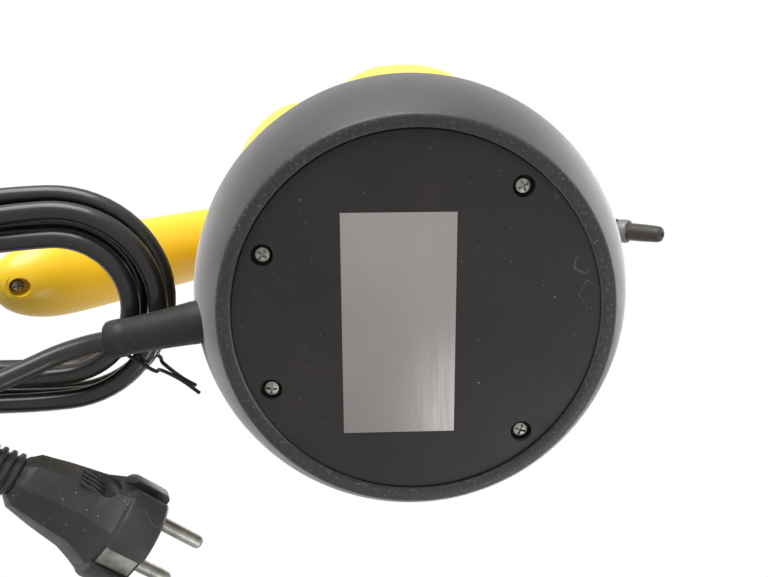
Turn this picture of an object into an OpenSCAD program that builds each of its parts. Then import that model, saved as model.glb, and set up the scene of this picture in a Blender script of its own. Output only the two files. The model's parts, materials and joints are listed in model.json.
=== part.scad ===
// Hand-held steam cleaner for wallpaper and tiles, millimetres.
// +X points forward to the nozzle, +Z up. The origin is the centre of the bottom ring it stands on.

/* [Lower bowl] */
// Outer radius of the bottom ring that the body stands on
ring_r = 61; // [59:0.5:63]
// Radius of the recess that takes the base plate
recess_r = 57.2; // [56.5:0.1:57.8]
// Largest radius of the bowl
bowl_r = 74.2; // [73:0.1:76]
// Height at which the bowl is widest
bowl_wide_z = 37; // [35:0.5:38]
// Height of the upright band between the widest place and the seam
rim_h = 3; // [2.5:0.5:4]
// Wall thickness of the moulded shells
wall = 2.4; // [2:0.1:2.8]
// Thickness of the bowl's floor
floor_t = 2.6; // [2.2:0.1:3]
// Radius of the service opening in the bowl's floor
floor_open_r = 30; // [26:1:32]
// Height of the lap lip that centres the upper shell
lap_h = 4; // [3:0.5:5]

/* [Base plate] */
// How far the base plate sits above the ring's face
plate_sink = 1.5; // [1:0.1:2]
// Thickness of the base plate
plate_t = 2.4; // [2:0.1:2.8]
// Radius of the circle of base screws
screw_circle_r = 50.8; // [50:0.1:51.2]
// Angle of the two front base screws from the front
screw_front_a = 50.3; // [45:0.1:55]
// Angle of the two rear base screws from the front
screw_rear_a = 155.2; // [150:0.1:158]
// Radius of the round recess around each base screw
cup_r = 3.4; // [3:0.1:3.6]
// Radius of a base screw's head
head_r = 2.6; // [2.3:0.1:2.8]
// Width of the blank rating sticker
label_w = 35; // [25:1:40]
// Length of the blank rating sticker
label_l = 70; // [55:1:74]
// Thickness of the sticker
label_t = 0.2; // [0.15:0.05:0.3]

/* [Upper shell] */
// Height of the dome if it closed to a point
dome_h = 118; // [116:0.5:120]
// How far the side lobes swell out beyond the dome
lobe_swell = 5.6; // [4:0.1:7]
// Height over which a side lobe fades out
lobe_h = 70; // [60:1:80]
// Radius of the filler collar's flange
collar_r = 27.5; // [26.5:0.1:28.5]

/* [Handle] */
// Half of the handle's width
grip_w = 17.2; // [16.5:0.1:18]
// Half of the handle's thickness
grip_t = 13; // [12.6:0.1:13.6]
// Radius of the screw recess near the handle's free end
grip_hole_r = 3.7; // [3.2:0.1:4]

/* [Nozzle] */
// Largest radius of the nozzle's fixed base
jet_base_r = 7; // [6.5:0.1:7.5]
// Radius of the cylindrical locking ring
jet_ring_r = 5.9; // [5.6:0.1:6.4]
// Width of the locking ring
jet_ring_w = 5; // [4:0.5:6]
// Radius of the jet at the ring
jet_r = 4.2; // [3.8:0.1:4.5]
// Length of the jet beyond the ring
jet_l = 17; // [14:1:20]
// Radius of the steam hole
jet_hole_r = 1.2; // [0.8:0.1:1.5]

/* [Boiler] */
// Outer radius of the boiler's cups
boiler_r = 36; // [34:0.5:37]
// Width of the bolted flange around the cups
boiler_flange_w = 8.5; // [7.5:0.5:9]
// Wall of the cast cups
boiler_wall = 3.2; // [2.6:0.1:4]
// Height of the boiler's underside
boiler_z = 14; // [13:0.5:16]
// Height of the lower cup
boiler_low_h = 42; // [36:1:46]
// Height of the upper cup
boiler_up_h = 42; // [40:0.5:43]
// Thickness of each flange
flange_t = 4; // [3:0.5:5]
// Thickness of the boiler gasket
gasket_t = 1.2; // [0.8:0.1:2]
// Radius of the heating element's tube
heater_r = 3.2; // [2.8:0.1:3.4]

/* [Filler and cap] */
// Inner radius of the filler neck
neck_in_r = 9.4; // [8.8:0.1:9.8]
// Outer radius of the filler neck
neck_out_r = 12; // [11.5:0.1:12.4]
// Height of the filler neck's rim above the collar's seat
neck_rise = 2.5; // [2:0.1:3]
// Radius of the cap's grip
cap_r = 20; // [19:0.5:20.6]
// Height of the cap above the neck's rim
cap_rise = 26; // [22:1:30]

/* [Steam control] */
// Length of the steam button
button_l = 26; // [22:1:28]
// Width of the steam button
button_w = 15; // [12:0.5:16]
// Travel of the steam button
button_travel = 4; // [3:0.5:4]

/* [Cord and plug] */
// Diameter of the power cord
cord_d = 6.6; // [6:0.1:6.8]
// Height of the cord outlet's axis
boot_z = 18; // [17:0.5:19]
// Radius of the strain relief at the housing
boot_r1 = 7; // [6.5:0.1:7.2]
// Radius of the strain relief at its free end
boot_r2 = 5.6; // [5:0.1:5.8]
// Length of the strain relief outside the wall
boot_l = 33; // [28:1:34]
// Radius of the plug's front
plug_r = 18.5; // [18:0.1:18.6]
// Radius of a plug pin
pin_r = 2.4; // [2.35:0.01:2.4]
// Length of a plug pin
pin_l = 19; // [18.5:0.1:19.5]
// Distance between the plug's pins
pin_pitch = 19; // [18.8:0.1:19.2]

/* [Cord hank] */
// Number of loops in the hank, half of them in each layer
hank_turns = 4; // [4:2:4]
// Radius of the hank's outer fold
hank_r = 38; // [37:0.5:38]
// Half of the hank's straight run
hank_run = 54; // [50:1:54]
// Sideways step from loop to loop
hank_step = 9; // [8.8:0.1:9]
// Height from the lower layer to the upper one
hank_layer = 7.6; // [7.4:0.1:8]
// Share by which the waist is drawn in
hank_waist = 0.1; // [0:0.01:0.1]

/* [Hidden] */
$fn = 48;
// Clearances
fit = 0.05;
loose = 0.2;
slip = 0.3;
// Heights that follow from each other
bowl_h = bowl_wide_z + rim_h;
plate_top = plate_sink + plate_t;
floor_top = plate_top + floor_t;
boss_r = 4.5;
pilot_r = 1.5;
clamp_pilot_r = 1.2;
lap_r = bowl_r - wall - loose;
lug_t = 4;
boiler_split = boiler_z + boiler_low_h;
boiler_up_z = boiler_split + gasket_t;
boiler_top = boiler_up_z + boiler_up_h;
collar_z = dome_z(collar_r);
collar_t = 2;
collar_in_r = 23.8;
collar_depth = 6;
neck_z = collar_z + neck_rise;
// Angles of the boiler's three lugs, clear of the shell's pillars
LUGS = [0, 110, 250];
boiler_flange_r = boiler_r + boiler_flange_w;
lug_circle = boiler_r + 5;
boiler_bolt_r = (boiler_r + boiler_flange_r) / 2;
screw_angles = [screw_front_a, -screw_front_a, screw_rear_a, -screw_rear_a];

// Handle's centre line, from inside the dome's top over the arch to the free end: [x, z]
GRIP = [[-46, 128], [-60, 155], [-77, 165.5], [-95, 157], [-115, 130],
        [-131, 106], [-142, 91], [-150, 80], [-161, 71]];
// Spout's centre line, from inside the dome to the nozzle: [x, z, radius]
SPOUT = [[38, 126, 22], [58, 150, 18.5], [80, 163, 15], [97, 162, 12], [106.5, 155.6, 9.6]];
// Place and slope of the nozzle's axis at the spout's mouth
jet_at = [106.5, 0, 155.6];
jet_slope = 46;
// Place of the button's axis and of the rocker's pivot
button_x = -77;
pivot = [-54, 143];
valve_x = -27;
arch_top = 178.5;
button_z = arch_top + button_travel + 1.5;

// Cord outlet: how far inside the wall it is rooted, its root, direction and end
boot_depth = 8.72;
boot_at = [boot_depth - bowl_at(boot_z), 1.5, boot_z];
boot_yaw = 170.4;
boot_sink = 5.5;
// What lies outside keeps its place beside the outlet: its points count from an outlet at this place
outlet_x = -62;
module outside() translate([boot_at[0] - outlet_x, 0, 0]) children();
boot_end = [outlet_x, boot_at[1], boot_z] + (boot_l + boot_sink) * [cos(boot_yaw), sin(boot_yaw), 0];
// Free stretch from the strain relief to the hank
CORD = [boot_end, [-107, 9.2, 17.8], [-116, 11.5, 15.8], [-126, 15, 11.5], [-136, 18, 7],
        [-147, 18.5, 4.2], [-158, 15, 3.4], [-169, 7, 3.4], [-179, -4, 3.4], [-187, -16, 3.4],
        [-194, -28, 3.6], [-201, -36.5, 6.4], [-209.5, -40.6, 9.6]];
// Lead from the hank to the plug
LEAD = [[-240, -41, 13.6], [-256, -40, 9.5], [-272, -36, 5.5], [-285, -27, 3.6], [-293, -14, 3.4],
        [-295, 1, 3.4], [-290, 15, 3.4], [-280, 27, 3.4], [-266, 36, 3.4], [-250, 41, 3.4],
        [-235, 43, 3.4], [-220, 43, 3.4], [-206, 39.5, 3.4], [-193, 34, 3.4], [-181, 28.5, 3.4],
        [-169, 26, 3.4], [-158, 29, 4.6]];
// Plug: end of its cord sleeve, heading and tilt
plug_at = [-144, 41, 7.6];
plug_yaw = 42.7;
plug_tilt = 12.6;
plug_len = 63;
plug_front_t = 14;
plug_sleeve_l = 17;
// Hank: centre on the ground, slope up onto the strain relief
hank_at = [-170.5, -3];
hank_tilt = 8.6;

// ---------- outlines ----------

// Bowl's outer radius at height z
function bowl_at(z) = z >= bowl_wide_z ? bowl_r
    : bowl_r - (bowl_r - ring_r) * pow(1 - z / bowl_wide_z, 2);
// Dome's outer radius at height z, and the height of a given radius
function dome_at(z) = bowl_r * sqrt(max(0, 1 - pow(max(0, z - bowl_h) / dome_h, 2.6)));
function dome_z(r) = bowl_h + dome_h * pow(1 - pow(r / bowl_r, 2), 1 / 2.6);
function swell_at(z) = z > bowl_h + lobe_h ? 0 : lobe_swell * sin(180 * (z - bowl_h) / lobe_h);
function steps(a, b, n) = [for (i = [0:n]) a + (b - a) * i / n];

// ---------- curves and swept solids ----------

// Point on the Catmull-Rom curve through P, at u from 0 to len(P) - 1
function knot(P, i) = i < 0 ? 2 * P[0] - P[1] : i >= len(P) ? 2 * P[len(P) - 1] - P[len(P) - 2] : P[i];
function blend(a, b, c, d, t) = 0.5 * (2 * b + (c - a) * t + (2 * a - 5 * b + 4 * c - d) * t * t
    + (3 * b - a - 3 * c + d) * t * t * t);
function on_curve(P, u) = let (i = min(floor(u), len(P) - 2))
    blend(knot(P, i - 1), knot(P, i), knot(P, i + 1), knot(P, i + 2), u - i);
function curve(P, n) = [for (u = steps(0, len(P) - 1, n)) on_curve(P, u)];
function unit(v) = v / norm(v);
function heading(Q, i) = unit(Q[min(i + 1, len(Q) - 1)] - Q[max(i - 1, 0)]);

// Closed solid through rings of equal length, each ring a list of points
module loft(rings) {
    n = len(rings[0]);
    m = len(rings);
    sides = [for (i = [0:m - 2]) for (j = [0:n - 1]) let (k = (j + 1) % n)
        each [[i * n + j, i * n + k, (i + 1) * n + k], [i * n + j, (i + 1) * n + k, (i + 1) * n + j]]];
    // Each end is closed by strips between opposite points, which suits round and crescent rings alike
    strips = [for (j = [0:n / 2 - 2]) each [[n - 2 - j, j + 1, j], [n - 1 - j, n - 2 - j, j]]];
    far = [for (t = strips) [for (k = [2:-1:0]) (m - 1) * n + t[k]]];
    polyhedron(points = [for (r = rings) each r], faces = concat(strips, sides, far), convexity = 8);
}

// Round tube of radius r along points Q, kept level so that it doesn't twist
module tube(Q, r, sides = 8) {
    loft([for (i = [0:len(Q) - 1]) let (t = heading(Q, i), s = unit(cross(t, [0, 0, 1])), v = cross(s, t))
        [for (j = [0:sides - 1]) Q[i] + r * (cos(360 * j / sides) * s + sin(360 * j / sides) * v)]]);
}

// Coil spring standing on z0, with 8 rings in a curl and 6 sides
module coil(r, wire, h, curls) {
    rings = curls * 8;
    rise = h - 2 * wire;
    loft([for (i = [0:rings]) let (a = 360 * i / 8) [for (j = [0:5]) let (b = -60 * j)
        [(r + wire * cos(b)) * cos(a), (r + wire * cos(b)) * sin(a), wire + rise * i / rings + wire * sin(b)]]]);
}

// Screw along +Z: its head's lower face is at z = 0, its shank runs upwards
module screw(head, head_t, shank, length) {
    difference() {
        translate([0, 0, -head_t]) cylinder(r = head, h = head_t);
        for (a = [0, 90]) rotate([0, 0, a])
            translate([-head * 0.6, -head * 0.12, -head_t - 1]) cube([head * 1.2, head * 0.24, 1 + head_t / 2]);
    }
    cylinder(r = shank, h = length);
}

module at_base_screws() {
    for (a = screw_angles) rotate([0, 0, a]) translate([screw_circle_r, 0, 0]) children();
}

module at_lugs(z) for (a = LUGS) rotate([0, 0, a]) translate([lug_circle, 0, z]) children();

// ---------- bowl and base ----------

module bowl() color([0.16, 0.16, 0.17]) {
    heights = steps(0, bowl_wide_z, 9);
    inner = steps(floor_top, bowl_wide_z - 4, 6);
    difference() {
        rotate_extrude($fn = 96) polygon(concat(
            [[floor_open_r, plate_top], [recess_r, plate_top], [recess_r, 0]],
            [for (z = heights) [bowl_at(z), z]],
            [[bowl_r, bowl_h], [lap_r, bowl_h], [lap_r, bowl_h + lap_h], [lap_r - wall / 1.5, bowl_h + lap_h],
             [lap_r - wall / 1.5, bowl_wide_z - 2]],
            [for (i = [len(inner) - 1:-1:0]) [bowl_at(inner[i]) - wall, inner[i]]],
            [[floor_open_r, floor_top]]));
        at_base_screws() cylinder(r = boss_r + 0.6, h = 20);
        at_boot(0) cylinder(r = boot_r1 + slip, h = boot_l);
        at_lugs(plate_top + 0.6) cylinder(r = pilot_r + fit, h = 20);
    }
    at_lugs(floor_top - floor_t / 2) difference() {
        cylinder(r = boss_r, h = boiler_z - floor_top + floor_t / 2);
        translate([0, 0, -1]) cylinder(r = pilot_r + fit, h = boiler_z);
    }
    // Two lugs that carry the cord clamp
    at_clamp(floor_top - floor_t / 2) difference() {
        cylinder(r = 3.5, h = clamp_z - floor_top + floor_t / 2);
        translate([0, 0, floor_t / 2 + 1]) cylinder(r = clamp_pilot_r + fit, h = 9);
    }
}

module base_plate() color([0.1, 0.1, 0.11]) difference() {
    union() {
        translate([0, 0, plate_sink]) cylinder(r = recess_r - loose, h = plate_t, $fn = 96);
        at_base_screws() translate([0, 0, plate_sink]) cylinder(r = boss_r + 0.4, h = floor_top - plate_sink);
    }
    at_base_screws() translate([0, 0, plate_sink - 1]) cylinder(r = cup_r, h = 4);
    at_base_screws() cylinder(r = pilot_r + loose, h = 20);
}

module base_screws() color("silver") at_base_screws()
    translate([0, 0, plate_sink + 3]) screw(head_r, 1.8, pilot_r, 16);

// Blank sticker, flush against the base plate
module rating_label() color([0.75, 0.76, 0.78])
    translate([-5.8, 2.3, plate_sink - label_t]) rotate([0, 0, 1.5])
    linear_extrude(label_t) square([label_w, label_l], center = true);

// ---------- upper shell ----------

// Dome without lobes, shrunk by an offset
module dome(inset) rotate_extrude($fn = 96) polygon(concat([[0, bowl_h]],
    [for (z = steps(bowl_h, dome_z(0.6 * bowl_r), 8)) [dome_at(z) - inset, z]],
    [for (r = [0.51, 0.445, 0.4] * bowl_r) [r - inset * 0.5, dome_z(r) - inset * 0.9]],
    [[collar_r, collar_z - inset], [0, collar_z - inset]]));

// Lobes: angle from the front, radius of the cylinder that cuts each one, and its reach beyond the bowl
LOBES = [[90, 30, 4.8], [129, 22, 4.1]];

// Dome with its swollen lower part, cut to the lobes by upright cylinders
module lobes(inset) for (side = [-1, 1]) intersection() {
    rotate_extrude($fn = 96) polygon(concat([[0, bowl_h]],
        [for (z = steps(bowl_h, bowl_h + lobe_h, 10)) [dome_at(z) + swell_at(z) - inset, z]],
        [[0, bowl_h + lobe_h]]));
    union() {
        for (l = LOBES) rotate([0, 0, side * l[0]]) translate([bowl_r + l[2] - l[1], 0, 0])
            cylinder(r = l[1] - inset, h = bowl_h + dome_h, $fn = 64);
    }
}

// Ears of the rocker's pin: distance from the middle, thickness and height they start at
ear_y = 8.2;
ear_t = 2.4;
ear_root_z = 124;

module upper_shell() color([1, 0.82, 0.1]) {
    difference() {
        union() {
            dome(0);
            lobes(0);
        }
        translate([0, 0, -0.01]) dome(wall);
        translate([0, 0, -0.01]) lobes(wall);
        translate([0, 0, 100]) cylinder(r = collar_in_r + slip, h = 80);
        // Ways through for the rocker lever and for the steam hose
        translate([-59, -6, 110]) cube([20, 12, 60]);
        translate([38, 7, 137]) rotate([0, 58, -20]) translate([0, 0, -12])
            cylinder(r = hose_r + 1.8, h = 26);
    }
    // Pillars that the base screws pull on
    intersection() {
        dome(0.6);
        at_base_screws() translate([0, 0, bowl_h + 0.02]) cylinder(r = boss_r, h = dome_h);
    }
    at_base_screws() translate([0, 0, floor_top]) difference() {
        cylinder(r = boss_r, h = bowl_h + 2 - floor_top);
        translate([0, 0, -1]) cylinder(r = pilot_r + fit, h = 17);
    }
    // Ears for the rocker's pin, standing on the dome inside the handle's root
    for (side = [-1, 1]) difference() {
        translate([pivot[0], side * ear_y - ear_t / 2, 0]) {
            translate([1, 0, ear_root_z]) cube([7, ear_t, pivot[1] - ear_root_z]);
            translate([0, ear_t, pivot[1]]) rotate([90, 0, 0]) cylinder(r = 4, h = ear_t);
        }
        translate([pivot[0], 20, pivot[1]]) rotate([90, 0, 0]) cylinder(r = pilot_r + fit, h = 40);
        dome(wall + 1);
    }
}

// Rings of the spout, grown or shrunk by an offset
spout_n = 10;
function spout_rings(grow) = let (Q = curve(SPOUT, spout_n), C = [for (q = Q) [q[0], 0, q[1]]])
    [for (i = [0:spout_n]) let (t = heading(C, i), v = cross([0, 1, 0], t))
        [for (j = [0:19]) C[i] + (Q[i][2] + grow) * (cos(18 * j) * [0, 1, 0] + sin(18 * j) * v)]];

module spout_shell() color([1, 0.82, 0.1]) difference() {
    loft(spout_rings(0));
    // The hollow stops one ring short of the mouth, where the nozzle's seat is bored
    loft([for (i = [0:spout_n - 1]) spout_rings(-wall)[i]]);
    dome(-slip / 3);
    at_jet(-8) cylinder(r = jet_base_r + fit, h = 20);
}

// ---------- handle ----------

grip_n = 30;
// Stations over which the handle narrows to its rounded free end
grip_taper = 10;
// Station i of the handle: centre, outward normal, and the share of full size left near the rounded end
grip_line = [for (q = curve(GRIP, grip_n)) [q[0], 0, q[1]]];
function grip_out(i) = cross([0, 1, 0], heading(grip_line, i));
function grip_share(i) = let (s = (i - grip_n + grip_taper) / (grip_taper + 0.04))
    s <= 0 ? 1 : pow(1 - pow(s, 2.5), 0.4);
function hollow(v, i) = i > grip_n - 2 ? 0.3 : v;

// Half of the handle: side is 1 for the outer half and -1 for the inner half
function grip_half(side) = [for (i = [0:grip_n]) let (n = grip_out(i), k = grip_share(i), gap = side * 0.02)
    concat(
        [for (j = [0:10]) let (a = 18 * j)
            grip_line[i] + k * grip_w * cos(a) * [0, 1, 0] + (k * grip_t * sin(a) * side + gap) * n],
        [for (j = [10:-1:0]) let (a = 18 * j)
            grip_line[i] + hollow(k * grip_w - wall, i) * cos(a) * [0, 1, 0]
                + (hollow(k * grip_t - wall, i) * sin(a) * side + gap) * n])];

// Puts children on the handle's station i, +Z outwards and +X towards the free end
module on_grip(i) {
    along = heading(grip_line, i);
    out = grip_out(i);
    side = cross(out, along);
    translate(grip_line[i]) multmatrix([for (r = [0:2]) [along[r], side[r], out[r], 0]]) children();
}
grip_screw_i = grip_n - 2;
// Half of the handle's thickness at its screw
grip_screw_t = grip_t * grip_share(grip_screw_i);

module button_outline(grow) for (x = [-1, 1]) translate([button_x + x * (button_l - button_w) / 2, 0])
    circle(r = button_w / 2 + grow, $fn = 32);
module button_prism(grow) {
    button_outline(grow);
    translate([button_x - (button_l - button_w) / 2, -button_w / 2 - grow])
        square([button_l - button_w, button_w + 2 * grow]);
}

module handle_top() color([1, 0.82, 0.1]) {
    difference() {
        loft(grip_half(1));
        dome(-slip / 3);
        translate([0, 0, pad_z]) linear_extrude(button_z - pad_z) button_prism(slip);
        translate(lens_at) rotate([0, lens_lean, 0]) translate([0, 0, -8]) cylinder(r = lens_r + 0.1, h = 30);
    }
    on_grip(grip_screw_i) difference() {
        translate([0, 0, 0.1]) cylinder(r = 4, h = grip_screw_t - wall + 0.6);
        translate([0, 0, -1]) cylinder(r = pilot_r + fit, h = 7);
    }
}

module handle_cover() color([1, 0.82, 0.1]) {
    difference() {
        // This half winds the other way, so its rings are read backwards
        loft([for (ring = grip_half(-1)) [for (j = [len(ring) - 1:-1:0]) ring[j]]]);
        dome(-slip / 3);
        on_grip(grip_screw_i) translate([0, 0, -30]) cylinder(r = grip_hole_r, h = 29);
    }
    on_grip(grip_screw_i) difference() {
        translate([0, 0, -grip_screw_t + 2.2]) cylinder(r = grip_hole_r + 1.6, h = grip_screw_t - 2.3);
        translate([0, 0, -30]) cylinder(r = grip_hole_r, h = 26);
        translate([0, 0, -30]) cylinder(r = pilot_r + loose, h = 40);
    }
    // Seat of the button's spring
    translate([-87, 0, 150.5]) cylinder(r = 4.2, h = 6);
}

module handle_screws() color("silver")
    on_grip(grip_screw_i) translate([0, 0, -4]) screw(head_r, 1.8, pilot_r, 8.5);

// ---------- boiler ----------

module boiler_bolts() for (i = [0:5]) rotate([0, 0, 30 + 60 * i]) translate([boiler_bolt_r, 0, 0]) children();

module boiler_lower() color([0.72, 0.73, 0.74]) difference() {
    union() {
        translate([0, 0, boiler_z]) cylinder(r = boiler_r, h = boiler_low_h);
        translate([0, 0, boiler_split - flange_t]) cylinder(r = boiler_flange_r, h = flange_t);
        at_lugs(boiler_z) cylinder(r = boss_r, h = lug_t);
        for (a = LUGS) rotate([0, 0, a]) translate([boiler_r - 3, -boss_r, boiler_z])
            cube([lug_circle - boiler_r + 3, 2 * boss_r, lug_t]);
    }
    translate([0, 0, boiler_z + boiler_wall + 1]) cylinder(r = boiler_r - boiler_wall, h = 60);
    boiler_bolts() translate([0, 0, boiler_z]) cylinder(r = pilot_r + fit, h = 60);
    at_lugs(0) cylinder(r = pilot_r + loose, h = 30);
}

module boiler_upper() color([0.72, 0.73, 0.74]) difference() {
    union() {
        translate([0, 0, boiler_up_z]) cylinder(r = boiler_r, h = boiler_up_h - 6);
        translate([0, 0, boiler_top - 6]) cylinder(r1 = boiler_r, r2 = boiler_r - 6, h = 6);
        translate([0, 0, boiler_up_z]) cylinder(r = boiler_flange_r, h = flange_t);
    }
    translate([0, 0, boiler_up_z - 1]) cylinder(r = boiler_r - boiler_wall, h = boiler_up_h - 6);
    boiler_bolts() translate([0, 0, boiler_up_z - 1]) cylinder(r = pilot_r + loose, h = 20);
    translate([0, 0, boiler_up_z]) cylinder(r = neck_out_r + fit, h = boiler_up_h + 1);
    translate([valve_x, 0, boiler_up_z]) cylinder(r = 4 + fit, h = boiler_up_h + 1);
}

module boiler_gasket() color([0.55, 0.2, 0.15]) translate([0, 0, boiler_split]) difference() {
    cylinder(r = boiler_flange_r - 0.5, h = gasket_t);
    translate([0, 0, -1]) cylinder(r = boiler_r - boiler_wall, h = gasket_t + 2);
    boiler_bolts() translate([0, 0, -1]) cylinder(r = pilot_r + loose, h = gasket_t + 2);
}

module boiler_screws() color("silver") boiler_bolts()
    translate([0, 0, boiler_up_z + flange_t]) mirror([0, 0, 1])
        screw(2.8, 2, pilot_r, 2 * flange_t + gasket_t - 0.4);

module boiler_feet_screws() color("silver") at_lugs(boiler_z + lug_t)
    mirror([0, 0, 1]) screw(3, 2, pilot_r, 10);

// Heating element: most of a ring brazed under the boiler, and the sleeves of its two cold ends
heater_ring_r = 24;
module heater_element() color([0.6, 0.6, 0.58]) translate([0, 0, boiler_z - heater_r]) {
    rotate([0, 0, 195]) rotate_extrude(angle = 330, $fn = 64)
        translate([heater_ring_r, 0]) circle(r = heater_r);
    for (a = [165, 195]) rotate([0, 0, a]) translate([heater_ring_r - heater_r - 0.6, 0, -0.4])
        rotate([0, 90, 0]) cylinder(r = heater_r + 0.4, h = 18);
}

module thermostat() color([0.85, 0.83, 0.78]) {
    translate([0, 0, boiler_z - 1]) linear_extrude(1) union() {
        circle(r = 11);
        square([32, 8], center = true);
    }
    translate([0, 0, boiler_z - 6]) cylinder(r = 8.5, h = 5);
    for (y = [-4, 4]) translate([-12, y - 2, boiler_z - 4.8]) cube([24, 4, 0.8]);
}

fuse_l = 22;
module thermal_fuse() color([0.9, 0.9, 0.88]) translate([0, boiler_r + 0.1, boiler_z + boiler_low_h / 2]) {
    translate([-fuse_l / 2, 0, -3]) cube([fuse_l, 5, 6]);
    translate([0, 2.5, 0]) rotate([0, 90, 0]) cylinder(r = 1, h = fuse_l + 14, center = true);
}

// ---------- filler and safety cap ----------

module filler_neck() color([0.78, 0.66, 0.35]) rotate_extrude() polygon([[neck_in_r, boiler_top - 6],
    [neck_out_r, boiler_top - 6], [neck_out_r, boiler_top], [neck_out_r + 4, boiler_top],
    [neck_out_r + 4, boiler_top + 4], [neck_out_r, boiler_top + 4], [neck_out_r, neck_z], [neck_in_r, neck_z]]);

module filler_collar() color([0.1, 0.1, 0.11]) rotate_extrude() polygon([
    [neck_out_r + slip, collar_z - collar_depth], [collar_in_r, collar_z - collar_depth],
    [collar_in_r, collar_z], [collar_r, collar_z],
    [collar_r - 0.8, collar_z + collar_t], [collar_in_r - collar_t, collar_z + collar_t],
    [collar_in_r - collar_t, collar_z - collar_depth + collar_t],
    [neck_out_r + slip, collar_z - collar_depth + collar_t]]);

cap_low = collar_z + collar_t + slip;
cap_top = neck_z + cap_rise;
disc_z = neck_z + 3;
disc_t = 5;
cap_in_r = cap_r - 2.2;
bore_r = 4.2;
stem_r = 1.5;
core_hole_r = 2;
core_depth = 16;
plunger_depth = 13;
// Clearance of a part that slides or turns inside another
running = 0.08;

module cap_shell() color([0.12, 0.12, 0.13]) difference() {
    rotate_extrude($fn = 64) polygon([[cap_in_r, cap_low], [cap_r, cap_low], [cap_r, cap_top - 4],
        [cap_r - 1.2, cap_top - 1.4], [cap_r - 4, cap_top], [0, cap_top], [0, cap_top - 2.4],
        [cap_in_r - 3, cap_top - 2.4], [cap_in_r, cap_top - 5]]);
    for (i = [0:19]) rotate([0, 0, 18 * i]) translate([cap_r + 0.9, 0, cap_low + 3])
        cylinder(r = 1.8, h = cap_rise, $fn = 16);
}

module cap_core() color([0.75, 0.72, 0.6]) rotate_extrude() polygon([
    [core_hole_r, neck_z - core_depth], [neck_in_r - running, neck_z - core_depth],
    [neck_in_r - running, disc_z], [cap_in_r - fit, disc_z], [cap_in_r - fit, disc_z + disc_t],
    [bore_r, disc_z + disc_t], [bore_r, neck_z - plunger_depth], [core_hole_r, neck_z - plunger_depth]]);

module cap_gasket() color([0.6, 0.15, 0.12]) rotate_extrude()
    translate([neck_in_r + 0.2, neck_z]) square([neck_out_r - neck_in_r + 1.6, disc_z - neck_z - 0.02]);

module relief_plunger() color("silver") translate([0, 0, neck_z - plunger_depth]) {
    cylinder(r = bore_r - 0.5, h = 3);
    cylinder(r = stem_r, h = 26);
}

module relief_spring() color("silver") translate([0, 0, neck_z - 10 + 0.1])
    coil(2.9, 0.45, disc_z - neck_z + 8.6, 6);

module relief_nut() color([0.78, 0.66, 0.35]) translate([0, 0, disc_z - 1]) difference() {
    cylinder(r = bore_r - fit, h = disc_t + 1);
    translate([0, 0, -1]) cylinder(r = stem_r + 0.3, h = disc_t + 4);
}

// ---------- steam valve, rocker and button ----------

valve_z = boiler_top;
valve_h = 24;
valve_r = 8.5;
piston_r = 4;
seat_t = 5;
stem_l = 32;
stem_collar_r = 3.2;
stem_collar_t = 1.6;

module valve_body() color([0.78, 0.66, 0.35]) translate([valve_x, 0, valve_z]) difference() {
    union() {
        cylinder(r = valve_r, h = valve_h);
        translate([0, 0, -5]) cylinder(r = 4, h = 6);
        translate([0, 0, 13]) rotate([-90, 0, 0]) cylinder(r = 3, h = 13);
    }
    translate([0, 0, seat_t]) cylinder(r = piston_r, h = valve_h);
    translate([0, 0, -6]) cylinder(r = 1.6, h = 20);
    translate([0, 3, 13]) rotate([-90, 0, 0]) cylinder(r = 1.6, h = 12);
}

module valve_plunger() color("silver") translate([valve_x, 0, valve_z + seat_t]) {
    cylinder(r = piston_r - 0.08, h = 4);
    cylinder(r = stem_r, h = stem_l);
    translate([0, 0, stem_l - stem_collar_t / 2]) cylinder(r = stem_collar_r, h = stem_collar_t);
}

module valve_spring() color("silver") translate([valve_x, 0, valve_z + seat_t + 4.1])
    coil(2.9, 0.45, valve_h - seat_t - 4.3, 6);

module valve_nut() color([0.78, 0.66, 0.35]) translate([valve_x, 0, valve_z + valve_h]) difference() {
    cylinder(r = valve_r - 1, h = 3);
    translate([0, 0, -1]) cylinder(r = stem_r + 0.3, h = 6);
}

// Fork height: just under the valve stem's collar
fork_z = valve_z + seat_t + stem_l - stem_collar_t / 2 - 0.8;
pad_z = 161.6;

module rocker_lever() color([0.3, 0.3, 0.32]) difference() {
    union() {
        translate([pivot[0], 4, pivot[1]]) rotate([90, 0, 0]) cylinder(r = 4, h = 8);
        rotate([90, 0, 0]) translate([0, 0, -4]) linear_extrude(8) polygon([
            pivot + [0, 1.6], pivot + [0, -1.6], [valve_x - 5, fork_z - 2.4], [valve_x + 5, fork_z - 2.4],
            [valve_x + 5, fork_z], [valve_x - 5, fork_z]]);
        rotate([90, 0, 0]) translate([0, 0, -4]) linear_extrude(8) polygon([
            pivot + [1.6, 0], pivot + [-1.6, 0], [button_x + 5, pad_z - 2.2],
            [button_x - 1, pad_z - 1.4], [button_x - 1, pad_z], [button_x + 6, pad_z]]);
    }
    translate([valve_x - 3.4, -2.2, fork_z - 5]) cube([20, 4.4, 8]);
    translate([pivot[0], 10, pivot[1]]) rotate([90, 0, 0]) cylinder(r = pilot_r + 0.06, h = 20);
}

module rocker_pin() color("silver") translate([pivot[0], 9.4, pivot[1]]) rotate([90, 0, 0])
    cylinder(r = pilot_r, h = 18.8);

flange_z = 168.4;
module steam_button() color([0.1, 0.1, 0.11]) {
    translate([0, 0, flange_z]) linear_extrude(button_z - 1.2 - flange_z) button_prism(0);
    translate([0, 0, button_z - 1.2]) linear_extrude(1.2) button_prism(-1);
    translate([0, 0, flange_z]) linear_extrude(1.6) button_prism(1);
    translate([button_x + 0.5, 0, pad_z + 0.8]) cylinder(r = 1.8, h = flange_z - pad_z);
}

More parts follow.
